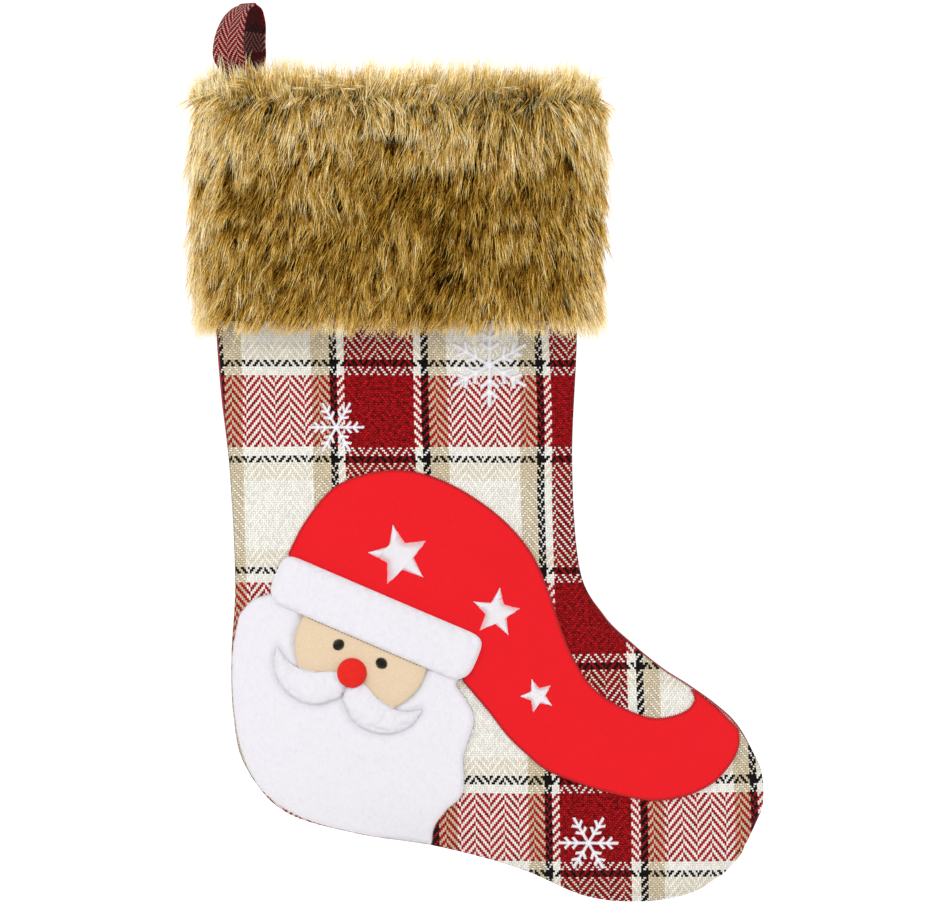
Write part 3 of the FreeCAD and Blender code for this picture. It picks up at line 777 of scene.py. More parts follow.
def pouch_sheet(side, inset, rows, columns, pucker=True, overlap=0.0):
    """Points of one side of the pouch at an inset from its skin, as rows by columns by three. An overlap
    widens it past the heel seam under the cuff and past the instep seam, where the back shows."""
    a, b, h = fan(rows)
    along = unit(b - a)
    drop = RIM_Z - b[:, 1]
    at_heel = ramp_up(a[:, 1] - CUFF_BOTTOM + HEEL_SHOWS, HEEL_FADE)
    at_instep = ramp_up(drop - INSTEP_SHOWS[0], INSTEP_FADE) * ramp_up(INSTEP_SHOWS[1] - drop, INSTEP_FADE)
    a = a - along * (overlap * at_heel)[:, None]
    b = b + along * (overlap * at_instep)[:, None]
    chord = np.linalg.norm(b - a, axis=1) / 2
    middle = (a + b) / 2
    radius = (chord ** 2 + h ** 2) / (2 * h)
    centre = radius - h
    reach = np.sqrt(np.maximum((radius - inset) ** 2 - centre ** 2, (0.3 * MM) ** 2))
    turn = np.linspace(-1, 1, columns)[None] * np.arctan2(reach, centre)[:, None]
    across = (radius - inset)[:, None] * np.sin(turn)
    out = np.maximum((radius - inset)[:, None] * np.cos(turn) - centre[:, None], 0.0)
    flat = middle[:, None, :] + across[..., None] * along[:, None, :]
    x = flat[..., 0]
    z = flat[..., 1]
    if pucker:
        lift = seam_pucker(x, z, reach[:, None] - np.abs(across), side)
        out = out + lift * ramp_up(out, 1.5 * MM) * ramp_up(RIM_Z - z, 12 * MM)
    return np.stack([x, side * out, z], axis=2)


def closed_sheet(name, outer, inner, side, material):
    """A closed cloth from an outer and an inner grid of the same size."""
    rows, columns = outer.shape[:2]
    half = rows * columns
    number = np.arange(half).reshape(rows, columns)
    ring = np.concatenate([number[0], number[1:, -1], number[-1, -2::-1], number[-2:0:-1, 0]])
    following = np.roll(ring, -1)
    rim = np.stack([ring, ring + half, following + half, following], axis=1)
    groups = [quads(number), quads(number + half)[:, ::-1], rim]
    if side == BACK:
        groups = [group[:, ::-1] for group in groups]
    return make_mesh(name, np.vstack([outer.reshape(-1, 3), inner.reshape(-1, 3)]), groups, [material])


def place_piece(piece, node):
    """Puts a piece on the stocking's body, standing for its CAD node."""
    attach(piece, BODY)
    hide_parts(node)
    return piece


# Outset from the skin, thickness, rows and columns of each layer of the pouch.
LINING_THICK = 0.8 * MM
LAYER_GAP = 0.1 * MM
PANEL_LAYER = (0.0, PANEL_THICK, 250, 121)
LINING_LAYER = (PANEL_THICK + LAYER_GAP, LINING_THICK, 120, 61)


def cloth_piece(name, node, side, layer, material, overlap=0.0):
    """One half of one cloth layer of the pouch."""
    outset, thick, rows, columns = layer
    outer = pouch_sheet(side, outset, rows, columns, overlap=overlap)
    inner = pouch_sheet(side, outset + thick, rows, columns, overlap=overlap)
    piece = place_piece(closed_sheet(name, outer, inner, side, material), node)
    return piece


front_panel = cloth_piece("front_panel_plaid", "front_panel", FRONT, PANEL_LAYER, plaid)
back_panel = cloth_piece("back_panel_red", "back_panel", BACK, PANEL_LAYER, red_cloth,
                         overlap=0.9 * MM)
for side, word in SIDES:
    cloth_piece(word + "_lining_cloth", word + "_lining", side, LINING_LAYER, lining_cloth)
panel_tree = surface_tree(front_panel)


# ------------------------------------------------------------------ scattered detail
LATTICE = 64
dice = np.random.default_rng(SEED)
lattice = dice.random((LATTICE, LATTICE))


def soft_noise(x, z, size, pattern):
    """Smooth noise from -1 to 1 with features of this size; each pattern number gives its own."""
    u = np.asarray(x) / size + 7.3 * pattern
    v = np.asarray(z) / size + 3.1 * pattern
    i = np.floor(u).astype(int)
    j = np.floor(v).astype(int)
    fu = u - i
    fv = v - j
    fu = fu * fu * (3 - 2 * fu)
    fv = fv * fv * (3 - 2 * fv)

    def row(up):
        level = (j + up) % LATTICE
        return lattice[i % LATTICE, level] * (1 - fu) + lattice[(i + 1) % LATTICE, level] * fu

    return (row(0) * (1 - fv) + row(1) * fv) * 2 - 1


def tubes(name, lines, wide, high, facing, sides, materials, shade=None):
    """Closed tubes along rows of points: wide and high are half sizes, facing the way high points."""
    count, rings = lines.shape[:2]
    tangent = unit(np.gradient(lines, axis=1))
    side = unit(np.cross(tangent, facing))
    up = np.cross(side, tangent)
    angle = 2 * math.pi * (np.arange(sides) + 0.5) / sides
    verts = (lines[:, :, None, :] + (wide[..., None] * np.cos(angle))[..., None] * side[:, :, None, :]
             + (high[..., None] * np.sin(angle))[..., None] * up[:, :, None, :])
    number = np.arange(count * rings * sides).reshape(count, rings, sides)
    following = np.roll(number, -1, axis=2)
    walls = np.stack([number[:, :-1], number[:, 1:], following[:, 1:], following[:, :-1]], axis=3)
    if shade is None:
        shade = np.zeros((count, rings - 1), int)
    shades = np.concatenate([np.repeat(shade.reshape(-1), sides), shade[:, 0], shade[:, -1]])
    groups = [walls.reshape(-1, 4), number[:, 0], number[:, -1, ::-1]]
    return make_mesh(name, verts.reshape(-1, 3), groups, materials, shades)


# ------------------------------------------------------------------ flat outlines
HEAD_TILT = math.radians(23)
HEAD_AT = (73.6, 305.6)
BRIM_LOW = 18.0
BRIM_HIGH = 45.0
BRIM_HALF = 58.0
BRIM_CORNER = 5.0
BRIM_BULGE = 0.8
HAT_TOP = [(39, 242), (48, 225), (63, 207), (81, 199), (100, 197), (118, 201), (137, 210.5), (156, 225),
           (170, 242), (179, 262), (187.5, 287), (194.5, 302), (202, 313), (212, 321), (224, 327),
           (236, 330.5), (247.5, 329), (255, 325.5), (258, 321), (257.5, 318)]
HAT_INSTEP = [(257.5, 318), (257, 315.2), (269.9, 324.9), (282, 337)]
HAT_UNDER = [(282, 337), (282, 345.5), (277.5, 355), (268, 365), (256, 371), (243, 374), (229.5, 374),
             (205.5, 368.5), (180, 359), (168, 350), (157, 339.5), (146.5, 326), (133, 310)]
HAT_TUCK = [(BRIM_HALF - 12, BRIM_LOW + 14), (-BRIM_HALF + 8, BRIM_HIGH - 6)]
BEARD_HEEL = [(12.5, 275), (8.8, 297), (9.6, 326), (14.8, 352), (26, 371), (46, 384.3), (77, 393),
              (116, 399)]
BEARD_SCALLOPS = [
    [(116, 399), (117.5, 389), (124, 379.5), (133, 370), (133, 350.5)],
    [(133, 350.5), (135.5, 343), (139, 331), (136, 322), (129, 312)],
]
BEARD_TUCK = [(BRIM_HALF - 4, BRIM_LOW + 4), (-BRIM_HALF + 3, BRIM_LOW + 5)]
BEARD_CHEEK = (20, 267)
# One side of the face and of the moustache, on the head frame.
FACE_SIDE = [(36, BRIM_LOW + 3), (36, 6), (28, -9), (20, -12)]
MOUSTACHE_TOP = [(0.6, -2), (9, -3), (21, -8.5), (33, -8.5), (43, -3)]
MOUSTACHE_UNDER = [(43, -3), (39, -15), (28, -23.5), (13, -24), (0.6, -15)]
NOSE_RADIUS = 8.0
EYE_AT = (12.5, 11)
EYE_RADIUS = 3.2
CUT_STEP = 1.3 * MM
MOUSTACHE_STEP = 0.8 * MM


def on_head(side, rise):
    """A point of the head frame, mm, as (X, Z): the nose is its origin and it tilts to the right."""
    x = HEAD_AT[0] + side * math.cos(HEAD_TILT) + rise * math.sin(HEAD_TILT)
    drop = HEAD_AT[1] + side * math.sin(HEAD_TILT) - rise * math.cos(HEAD_TILT)
    return on_leg(x, drop)


def leg_run(points):
    return [on_leg(x, drop) for x, drop in points]


def head_run(points, turn=1):
    """Points of the head frame; a turn of -1 mirrors them to its other side."""
    return [on_head(turn * side, rise) for side, rise in points]


def brim_end(turn):
    """One end of the brim, from its lower corner to its upper one."""
    inner = BRIM_HALF - BRIM_CORNER
    return head_run([(inner, BRIM_LOW), (BRIM_HALF, BRIM_LOW + BRIM_CORNER),
                     (BRIM_HALF + BRIM_BULGE, (BRIM_LOW + BRIM_HIGH) / 2),
                     (BRIM_HALF, BRIM_HIGH - BRIM_CORNER / 2), (inner, BRIM_HIGH)], turn)


def brim_outline():
    """The brim: a straight band with rounded ends."""
    right = brim_end(1)
    left = brim_end(-1)[::-1]
    return outline([[left[-1], right[0]], right, [right[-1], left[0]], left], CUT_STEP)


def hat_outline():
    """The long hat, tucked under the brim."""
    tuck = head_run(HAT_TUCK)
    seams = [[on_leg(*HAT_UNDER[-1]), tuck[0]], tuck, [tuck[1], on_leg(*HAT_TOP[0])]]
    return outline([leg_run(HAT_TOP), leg_run(HAT_INSTEP), leg_run(HAT_UNDER), *seams], CUT_STEP)


def beard_outline():
    """The beard with its scalloped tip, tucked under the brim."""
    tuck = head_run(BEARD_TUCK)
    to_brim = [on_leg(*BEARD_SCALLOPS[1][-1]), tuck[0]]
    cheek = [tuck[1], on_leg(*BEARD_CHEEK), on_leg(*BEARD_HEEL[0])]
    scallops = [leg_run(run) for run in BEARD_SCALLOPS]
    return outline([leg_run(BEARD_HEEL), *scallops, to_brim, tuck, cheek], CUT_STEP)


def face_outline():
    """The face: a band under the brim with round cheeks."""
    left = head_run(FACE_SIDE, -1)
    right = head_run(FACE_SIDE)[::-1]
    return outline([left, [left[-1], right[0]], right, [right[-1], left[0]]], CUT_STEP)


def moustache_outline(turn):
    """One half of the moustache: thick beside the nose, drawn out to a lifted tip."""
    upper = head_run(MOUSTACHE_TOP, turn)
    lower = head_run(MOUSTACHE_UNDER, turn)
    return outline([upper, lower, [lower[-1], upper[0]]], MOUSTACHE_STEP)


def disc_outline(centre, radius, spacing):
    count = int(2 * math.pi * radius / spacing)
    angle = np.linspace(0, 2 * math.pi, count, endpoint=False)
    return centre + radius * np.stack([np.cos(angle), np.sin(angle)], axis=1)


hat_loop = hat_outline()
beard_loop = soften(beard_outline(), 1.2 * MM)
brim_loop = soften(brim_outline(), 2.6 * MM)
face_loop = soften(face_outline(), 1.5 * MM)
moustache_loops = {turn: soften(moustache_outline(turn), 0.9 * MM) for turn, word in HALVES}
nose_loop = disc_outline(on_head(0, 0), NOSE_RADIUS * MM, 0.9 * MM)


# ------------------------------------------------------------------ cloth laid on the front
RING_SHARES = (0.12, 0.35, 0.7, 1.1)
ROW_STEP = 0.866
SUNK = 0.15 * MM
LEAST_RISE = 0.1 * MM


def cut_cloth(loop, spacing, round_over):
    """Triangles filling an outline, finer near its edge; returns points, triangles, depth inside."""
    inward = inward_normals(loop)
    kept = [loop]
    for share in RING_SHARES:
        depth = round_over * share
        ring = loop + inward * depth
        away, inside = edge_distance(ring, loop)
        kept.append(ring[inside & (away > 0.85 * depth)])
    low = loop.min(axis=0)
    high = loop.max(axis=0)
    columns = np.arange(low[0], high[0], spacing)
    rows = np.arange(low[1], high[1], ROW_STEP * spacing)
    across, up = np.meshgrid(columns, rows)
    across = across + spacing / 2 * (np.arange(len(across)) % 2)[:, None]
    inner = np.stack([across.ravel(), up.ravel()], axis=1)
    away, inside = edge_distance(inner, loop)
    kept.append(inner[inside & (away > 1.1 * round_over + 0.5 * spacing)])
    points = [Vector(p) for p in np.vstack(kept)]
    found = geometry.delaunay_2d_cdt(points, [], [list(range(len(loop)))], 1, 1e-7)
    flat = np.array([tuple(v) for v in found[0]])
    triangles = np.array([t for t in found[2] if len(t) == 3])
    return flat, triangles, edge_distance(flat, loop)[0]


def taut(level, triangles, rounds):
    """A level pulled taut over the steps below it; it never sinks behind them."""
    ends = np.vstack([triangles[:, [0, 1]], triangles[:, [1, 2]], triangles[:, [2, 0]]])
    ends = np.vstack([ends, ends[:, ::-1]])
    here = ends[:, 0]
    count = np.maximum(np.bincount(here, minlength=len(level)), 1)
    ground = level.copy()
    for _ in range(rounds):
        mean = np.bincount(here, weights=level[ends[:, 1]], minlength=len(level)) / count
        level = np.minimum(ground, mean)
    return level


def rim_edges(triangles):
    """The directed edges that belong to one triangle only."""
    seen = {}
    for a, b, c in triangles.tolist():
        for pair in ((a, b), (b, c), (c, a)):
            seen[pair] = True
    return np.array([pair for pair in seen if (pair[1], pair[0]) not in seen])


def laid_cloth(name, loop, ground, thick, spacing, round_over, material, relief, rounds=14):
    """A closed cloth of this thickness laid on what the ground tree shows, with a rounded edge."""
    flat, triangles, depth = cut_cloth(loop, spacing, round_over)
    level = taut(front_y(ground, flat), triangles, rounds) - SUNK
    share = ramp_up(depth, round_over)
    rise = thick * np.sqrt(1 - (1 - share) ** 2) + LEAST_RISE
    rise = rise + relief(flat[:, 0], flat[:, 1], depth) * share
    count = len(flat)
    a, b = rim_edges(triangles).T
    rim = np.stack([b, a, a + count, b + count], axis=1)
    groups = [triangles, triangles[:, ::-1] + count, rim]
    verts = np.vstack([standing(flat, level - rise), standing(flat, level)])
    return make_mesh(name, verts, groups, [material])


SIM_SCALE = 20.0
SIM_FRAMES = 20
SIM_QUALITY = 7
SIM_MASS = 0.3
SIM_STIFF = 15
SIM_BENDING = 0.3
SIM_PRESSURE = 4.0


def held_cloth(piece, held, slack):
    """A cloth modifier with pressure and no gravity; the held points stay where they are."""
    piece.vertex_groups.new(name="held").add(np.nonzero(held)[0].tolist(), 1.0, "REPLACE")
    cloth = piece.modifiers.new("cloth", "CLOTH")
    rules = cloth.settings
    rules.quality = SIM_QUALITY
    rules.mass = SIM_MASS
    rules.tension_stiffness = SIM_STIFF
    rules.compression_stiffness = SIM_STIFF
    rules.bending_stiffness = SIM_BENDING
    rules.use_pressure = True
    rules.uniform_pressure_force = SIM_PRESSURE
    rules.shrink_min = -slack
    rules.vertex_group_mass = "held"
    rules.effector_weights.gravity = 0.0
    cloth.collision_settings.use_collision = False


def stuffed(piece, loop, seam, most, slack):
    """Blows a stuffed piece out by cloth simulation. Its back and its seam, the strip this near the cut
    edge, stay where they are; slack is how much longer its cloth is than the outline it fills; no point
    moves further than most."""
    mesh = piece.data
    count = len(mesh.vertices)
    rest = np.empty(count * 3)
    mesh.vertices.foreach_get("co", rest)
    rest = rest.reshape(-1, 3)
    held = edge_distance(rest[:, [0, 2]], loop)[0] < seam
    held[count // 2:] = True
    centre = rest.mean(axis=0)
    mesh.vertices.foreach_set("co", ((rest - centre) * SIM_SCALE).ravel())
    held_cloth(piece, held, slack)
    for number in range(1, SIM_FRAMES + 1):
        scene.frame_set(number)
    shown = piece.evaluated_get(bpy.context.evaluated_depsgraph_get()).to_mesh()
    moved = np.empty(count * 3)
    shown.vertices.foreach_get("co", moved)
    shift = moved.reshape(-1, 3) / SIM_SCALE + centre - rest
    reach = np.linalg.norm(shift, axis=1)[:, None]
    shift *= most * np.tanh(reach / most) / np.maximum(reach, 1e-9)
    piece.modifiers.clear()
    piece.vertex_groups.clear()
    scene.frame_set(1)
    mesh.vertices.foreach_set("co", (rest + shift).ravel())
    mesh.update()


def flat_size(loop):
    """Width, length and area of a cut outline, in metres."""
    size = loop.max(axis=0) - loop.min(axis=0)
    following = np.roll(loop, -1, axis=0)
    area = abs(np.sum(loop[:, 0] * following[:, 1] - following[:, 0] * loop[:, 1])) / 2
    return (float(size[0]), float(size[1])), float(area)


def laid_sheet(piece, node, loop):
    """Puts a piece, cut to this outline and laid on the piece below, on the stocking's body, and works out
    its flat size.
    """
    place_piece(piece, node)
    flat, area = flat_size(loop)
    return piece


def padded_piece(piece, node, loop, seam, most, slack):
    stuffed(piece, loop, seam, most, slack)
    place_piece(piece, node)
    return piece


def felt_relief(x, z, depth):
    """Faint waves of the felt between its stitches."""
    return 0.22 * MM * soft_noise(x, z, 14 * MM, 1) + 0.08 * MM * soft_noise(x, z, 3 * MM, 2)


def plush_relief(x, z, depth):
    """Tufts of the pile, over broad soft swells."""
    tufts = 0.12 * MM * soft_noise(x, z, 1.7 * MM, 3) + 0.2 * MM * soft_noise(x, z, 4.2 * MM, 4)
    return tufts + 0.5 * MM * soft_noise(x, z, 17 * MM, 5)


def beard_relief(x, z, depth):
    """The beard's pile, pressed down along the stitched edges of the face and the moustache."""
    points = np.stack([x, z], axis=1)
    away = [edge_distance(points, loop)[0] for loop in (face_loop, *moustache_loops.values())]
    pressed = np.exp(-(np.min(away, axis=0) / (2.6 * MM)) ** 2)
    return plush_relief(x, z, depth) + 0.7 * MM - 2.3 * MM * pressed


def brim_relief(x, z, depth):
    """The brim is stuffed a little, with short puckers in from its seams."""
    along = x * math.cos(HEAD_TILT) - z * math.sin(HEAD_TILT)
    pucker = 0.35 * MM * np.sin(along * 2 * math.pi / (7.5 * MM) + 3 * soft_noise(x, z, 20 * MM, 6))
    pucker = pucker * np.exp(-(depth / (5 * MM)) ** 2)
    return plush_relief(x, z, depth) + 1.0 * MM * ramp_up(depth, 11 * MM) + pucker


def moustache_relief(x, z, depth):
    """Each half is stuffed towards its thick root."""
    combed = 0.16 * MM * soft_noise(x + z, z * 2.5, 2.2 * MM, 7) + 0.2 * MM * soft_noise(x, z, 4 * MM, 8)
    return 1.3 * MM * ramp_up(depth, 8 * MM) + combed


def nose_relief(x, z, depth):
    """The nose is domed and drawn in at its stitched edge."""
    return 1.6 * MM * ramp_up(depth, 7.6 * MM) + 0.12 * MM * soft_noise(x, z, 1.6 * MM, 9)


# Each piece is laid on what lies there before it: thickness, spacing of its points, rounding of its edge.
hat = laid_cloth("hat_felt", hat_loop, panel_tree, 1.2 * MM, 2.0 * MM, 0.9 * MM, red_felt, felt_relief)
laid_sheet(hat, "hat", hat_loop)
beard = laid_cloth("beard_plush", beard_loop, panel_tree, 2.9 * MM, 1.5 * MM, 2.4 * MM, white_plush,
                   beard_relief)
laid_sheet(beard, "beard", beard_loop)
face = laid_cloth("face_felt", face_loop, surface_tree(front_panel, beard), 1.1 * MM, 1.5 * MM, 0.8 * MM,
                  skin_felt, felt_relief)
laid_sheet(face, "face_patch", face_loop)
brim = laid_cloth("brim_plush", brim_loop, surface_tree(front_panel, hat, beard, face), 2.4 * MM, 1.4 * MM,
                  2.2 * MM, white_plush, brim_relief, 30)
padded_piece(brim, "hat_brim", brim_loop, 1.0 * MM, 1.8 * MM, 0.05)
moustaches = []
for turn, word in HALVES:
    node = "moustache_" + word
    loop = moustache_loops[turn]
    piece = laid_cloth(node + "_plush", loop, surface_tree(front_panel, beard, face), 1.3 * MM, 1.0 * MM,
                       1.3 * MM, white_plush, moustache_relief)
    moustaches.append(padded_piece(piece, node, loop, 0.7 * MM, 1.4 * MM, 0.06))
nose = laid_cloth("nose_pad", nose_loop, surface_tree(front_panel, beard, face, *moustaches), 2.6 * MM,
                  0.8 * MM, 3.6 * MM, nose_felt, nose_relief, 40)
padded_piece(nose, "nose", nose_loop, 0.7 * MM, 1.0 * MM, 0.03)
dressed_tree = surface_tree(front_panel, hat, beard, face, brim, *moustaches)


# ------------------------------------------------------------------ embroidery
BAR_RINGS = 5
STITCH_SINK = 0.12 * MM
STITCH_CROWN = 0.6
SATIN_CROWN = 0.3
SATIN_PITCH = 0.5 * MM
SATIN_HIGH = 0.5 * MM
SATIN_COVER = 1.15
EYE_PITCH = 0.4 * MM
EYE_HIGH = 0.6 * MM


def stitches(name, node, thread, starts, ends, ground, wide, high, crown=STITCH_CROWN):
    """Rows of thread laid from start to end points on the front, arched over what lies below."""
    t = np.linspace(0, 1, BAR_RINGS)
    flat = starts[:, None, :] * (1 - t)[None, :, None] + ends[:, None, :] * t[None, :, None]
    level = front_y(ground, flat.reshape(-1, 2)).reshape(flat.shape[:2])
    arch = np.sin(math.pi * t) ** crown
    y = level - high * arch[None] + STITCH_SINK * (1 - arch[None])
    slim = (0.55 + 0.45 * arch)[None] * np.ones((len(starts), 1))
    facing = np.array([0.0, -1.0, 0.0])
    piece = tubes(name, standing(flat, y), wide / 2 * slim, wide / 2.6 * slim, facing, 4, [threads[thread]])
    place_piece(piece, node)


def over_edge(loop, pitch, inner, outer, slant=0.0):
    """Points along a cut edge, and beside them points inside and outside it, moved apart by a slant."""
    run = even_run(loop, pitch, closed=True)
    inward = inward_normals(run)
    tangent = np.stack([inward[:, 1], -inward[:, 0]], axis=1)
    return run, run + inward * inner + tangent * slant, run - inward * outer - tangent * slant


def hat_stitching():
    """Close zigzag stitches over the hat's edge."""
    run, inner, outer = over_edge(hat_loop, 1.15 * MM, 1.3 * MM, 0.45 * MM)
    seen = ~edge_distance(run, brim_loop)[1]
    starts = np.vstack([inner[seen], outer[seen]])
    ends = np.vstack([outer[seen], np.roll(inner, -1, axis=0)[seen]])
    stitches("hat_edge_stitches", "hat_stitching", "red_thread", starts, ends,
             surface_tree(front_panel, hat), 0.42 * MM, 0.35 * MM)


def beard_stitching():
    """White stitches over the beard's edge and a satin line under each half of the moustache."""
    run, starts, ends = over_edge(beard_loop, 0.95 * MM, 1.0 * MM, 0.5 * MM, 0.25 * MM)
    seen = ~edge_distance(run, brim_loop)[1]
    all_starts = [starts[seen]]
    all_ends = [ends[seen]]
    head_up = np.array([math.sin(HEAD_TILT), math.cos(HEAD_TILT)])
    for loop in moustache_loops.values():
        run, starts, ends = over_edge(loop, 0.5 * MM, 0.5 * MM, 0.9 * MM)
        low = (starts - on_head(0, 0)) @ head_up < -8.2 * MM
        all_starts.append(starts[low])
        all_ends.append(ends[low])
    stitches("beard_edge_stitches", "beard_stitching", "white_thread", np.vstack(all_starts),
             np.vstack(all_ends), dressed_tree, 0.5 * MM, 0.45 * MM)


def brim_stitching():
    """Small dark running stitches along the brim's lower edge, over the face."""
    sides = np.arange(-33.0, 33.0, 1.9)
    starts = np.array([on_head(side, BRIM_LOW - 0.25) for side in sides])
    ends = np.array([on_head(side + 0.75, BRIM_LOW - 0.25) for side in sides])
    stitches("brim_running_stitches", "brim_stitching", "black_thread", starts, ends, dressed_tree,
             0.4 * MM, 0.3 * MM)


def satin_fill(node, thread, loop, heading, pitch, ground, high):
    """Parallel satin threads that fill an outline."""
    way = np.array([math.cos(heading), math.sin(heading)])
    across = np.array([-way[1], way[0]])
    along_loop = loop @ way
    level_loop = loop @ across
    following_along = np.roll(along_loop, -1)
    following_level = np.roll(level_loop, -1)
    starts = []
    ends = []
    for level in np.arange(level_loop.min() + pitch / 2, level_loop.max(), pitch):
        crossed = (level_loop > level) != (following_level > level)
        share = (level - level_loop[crossed]) / (following_level[crossed] - level_loop[crossed])
        places = np.sort(along_loop[crossed] + share * (following_along[crossed] - along_loop[crossed]))
        for first, last in zip(places[0::2], places[1::2]):
            jitter = dice.uniform(-0.08, 0.12, 2) * MM
            starts.append(way * (first - jitter[0]) + across * level)
            ends.append(way * (last + jitter[1]) + across * level)
    stitches(node + "_satin", node, thread, np.array(starts), np.array(ends), ground, SATIN_COVER * pitch,
             high, SATIN_CROWN)


# Place on the leg frame, radius and turn in degrees of each star and snowflake.
STARS = {
    "star_large": (99, 243, 17, 12),
    "star_medium": (151, 273.5, 13.5, -8),
    "star_small": (173, 318, 9.5, 20),
}
SNOWFLAKES = {
    "snowflake_upper_left": (65, 174, 15.1, 0),
    "snowflake_upper_right": (147.3, 140.5, 22.7, 30),
    "snowflake_toe": (200.5, 397.5, 16.2, 0),
}
STAR_CORNERS = 10
STAR_HOLLOW = 0.45
FLAKE_ARMS = 6
FLAKE_STROKE = 0.11
FLAKE_HIGH = 0.55 * MM
FLAKE_LEAN = 0.3 * MM
# Where each pair of barbs leaves the arm and how long it is, as shares of the arm.
BARBS = [(0.36, 0.26), (0.62, 0.24)]
BARB_ALONG = 0.64
BARB_OUT = 0.77


def star_outline(x, drop, radius, turn):
    points = []
    for corner in range(STAR_CORNERS):
        reach = radius if corner % 2 == 0 else radius * STAR_HOLLOW
        angle = math.radians(90 + turn + corner * 360 / STAR_CORNERS)
        points.append(on_leg(x + reach * math.cos(angle), drop - reach * math.sin(angle)))
    return even_run(np.array(points), 0.6 * MM, closed=True)


def snowflake_strokes(x, drop, radius, turn):
    """Start and end of each stroke: six arms, each with two pairs of barbs."""
    strokes = [((0, 0), (1, 0))]
    for foot, reach in BARBS:
        for side in (-1, 1):
            strokes.append(((foot, 0), (foot + BARB_ALONG * reach, side * BARB_OUT * reach)))
    found = []
    for arm in range(FLAKE_ARMS):
        heading = math.radians(turn + 360 / FLAKE_ARMS * arm)
        spin = np.array([[math.cos(heading), math.sin(heading)], [-math.sin(heading), math.cos(heading)]])
        for stroke in strokes:
            found.append([on_leg(x, drop) + np.array(end) @ spin * radius * LEG for end in stroke])
    return found


def snowflake_piece(node, x, drop, radius, turn):
    """Satin threads across every stroke of a snowflake."""
    half = 0.5 * FLAKE_STROKE * radius * LEG
    starts = []
    ends = []
    for start, end in snowflake_strokes(x, drop, radius, turn):
        long = np.linalg.norm(end - start)
        way = (end - start) / long
        across = np.array([-way[1], way[0]])
        lean = way * FLAKE_LEAN
        for place in np.arange(0.3 * MM, long, SATIN_PITCH):
            spread = half * dice.uniform(0.92, 1.1)
            starts.append(start + way * place - across * spread - lean)
            ends.append(start + way * place + across * spread + lean)
    stitches(node + "_satin", node, "white_thread", np.array(starts), np.array(ends), panel_tree,
             SATIN_COVER * SATIN_PITCH, FLAKE_HIGH)


hat_stitching()
beard_stitching()
brim_stitching()
for node, (x, drop, radius, turn) in STARS.items():
    satin_fill(node, "white_thread", star_outline(x, drop, radius, turn), math.radians(turn + 35),
               SATIN_PITCH, surface_tree(hat), SATIN_HIGH)
for node, placing in SNOWFLAKES.items():
    snowflake_piece(node, *placing)
for turn, word in HALVES:
    eye_loop = disc_outline(head_run([EYE_AT], turn)[0], EYE_RADIUS * MM, 0.3 * MM)
    satin_fill(word + "_eye", "black_thread", eye_loop, math.radians(50 * turn), EYE_PITCH,
               surface_tree(face), EYE_HIGH)


# ------------------------------------------------------------------ hanging loop
LOOP_TURN = math.atan2(-0.63877, 0.76940)
STRAP_WIDE = 19.0 * MM
STRAP_THICK = 2.2 * MM
STRAP_SIDES = 40
STRAP_ROWS = 60
STRAP_WAVE = 0.25 * MM
ROOT_DROP = 43
# One side of the strap's centreline from its root to the crown: across the eye and up, in mm.
STRAP_SIDE = [(1.3, -44.6), (1.9, -41.0), (7.2, -33.4), (11.4, -27.0), (11.5, -19.2), (9.7, -9.5),
              (5.7, -1.9), (0, 1.2)]
# The soft strap leans towards the toe, its legs bow out and are twisted apart, and its crown is narrow.
LOOP_LEAN = 1.0 * MM
BOW_FRONT = 2.0 * MM
BOW_BACK = 3.8 * MM
TWIST_BACK = math.radians(-15)
TWIST_FRONT = math.radians(24)
CROWN_TURN = math.radians(-14)
CROWN_NARROW = 0.34
# The sewn ends of the strap and the bar of stitches across them, in mm.
TAIL_HEIGHTS = (-52.4, -45.2)
TAIL_OUT = 1.25
TAIL_THICK = 2.3 * MM
BAR_STITCHES = 22
BAR_HALF = 8.2
BAR_PITCH = 0.75
BAR_SLANT = 0.3
BAR_OUT = 2.5
BAR_HEIGHTS = (-49.6, -47.9)
strap_way = np.array([math.cos(LOOP_TURN), math.sin(LOOP_TURN), 0.0])
eye_way = np.array([-math.sin(LOOP_TURN), math.cos(LOOP_TURN), 0.0])


def strap_ring(wide, thick):
    """The strap's cross-section: across its width and out of its face, with folded round edges."""
    turn = np.linspace(0, 2 * math.pi, STRAP_SIDES, endpoint=False) + math.pi / STRAP_SIDES
    reach = np.sign(np.cos(turn)) * np.abs(np.cos(turn)) ** 0.35 * wide / 2
    out = np.sign(np.sin(turn)) * np.abs(np.sin(turn)) ** 0.6 * thick / 2
    return reach, out


def swept_strap(name, line, ways, wide, thick, narrow=1.0):
    """A strap swept along a line, its width lying along ways, with its place stored for the weave."""
    tangent = unit(np.gradient(line, axis=0))
    ways = unit(ways - tangent * np.sum(ways * tangent, axis=1)[:, None])
    normal = np.cross(ways, tangent)
    reach, out = strap_ring(wide, thick)
    along = walked(line)
    wave = STRAP_WAVE * soft_noise(along, along * 0 + 3, 6 * MM, 11)
    narrow = np.ones(len(line)) * narrow
    verts = (line[:, None, :] + (reach[None, :] * narrow[:, None])[..., None] * ways[:, None, :]
             + (out[None, :] + wave[:, None])[..., None] * normal[:, None, :])
    number = np.arange(len(line) * STRAP_SIDES).reshape(len(line), STRAP_SIDES)
    groups = [quads(number, wrap=True), number[:1, ::-1], number[-1:]]
    piece = make_mesh(name, verts.reshape(-1, 3), groups, [strap_cloth])
    place = np.stack(np.broadcast_arrays(reach[None], along[:, None], out[None]), axis=2)
    stored = piece.data.attributes.new("strap_place", "FLOAT_VECTOR", "POINT")
    stored.data.foreach_set("vector", place.astype(np.float32).ravel())
    return piece


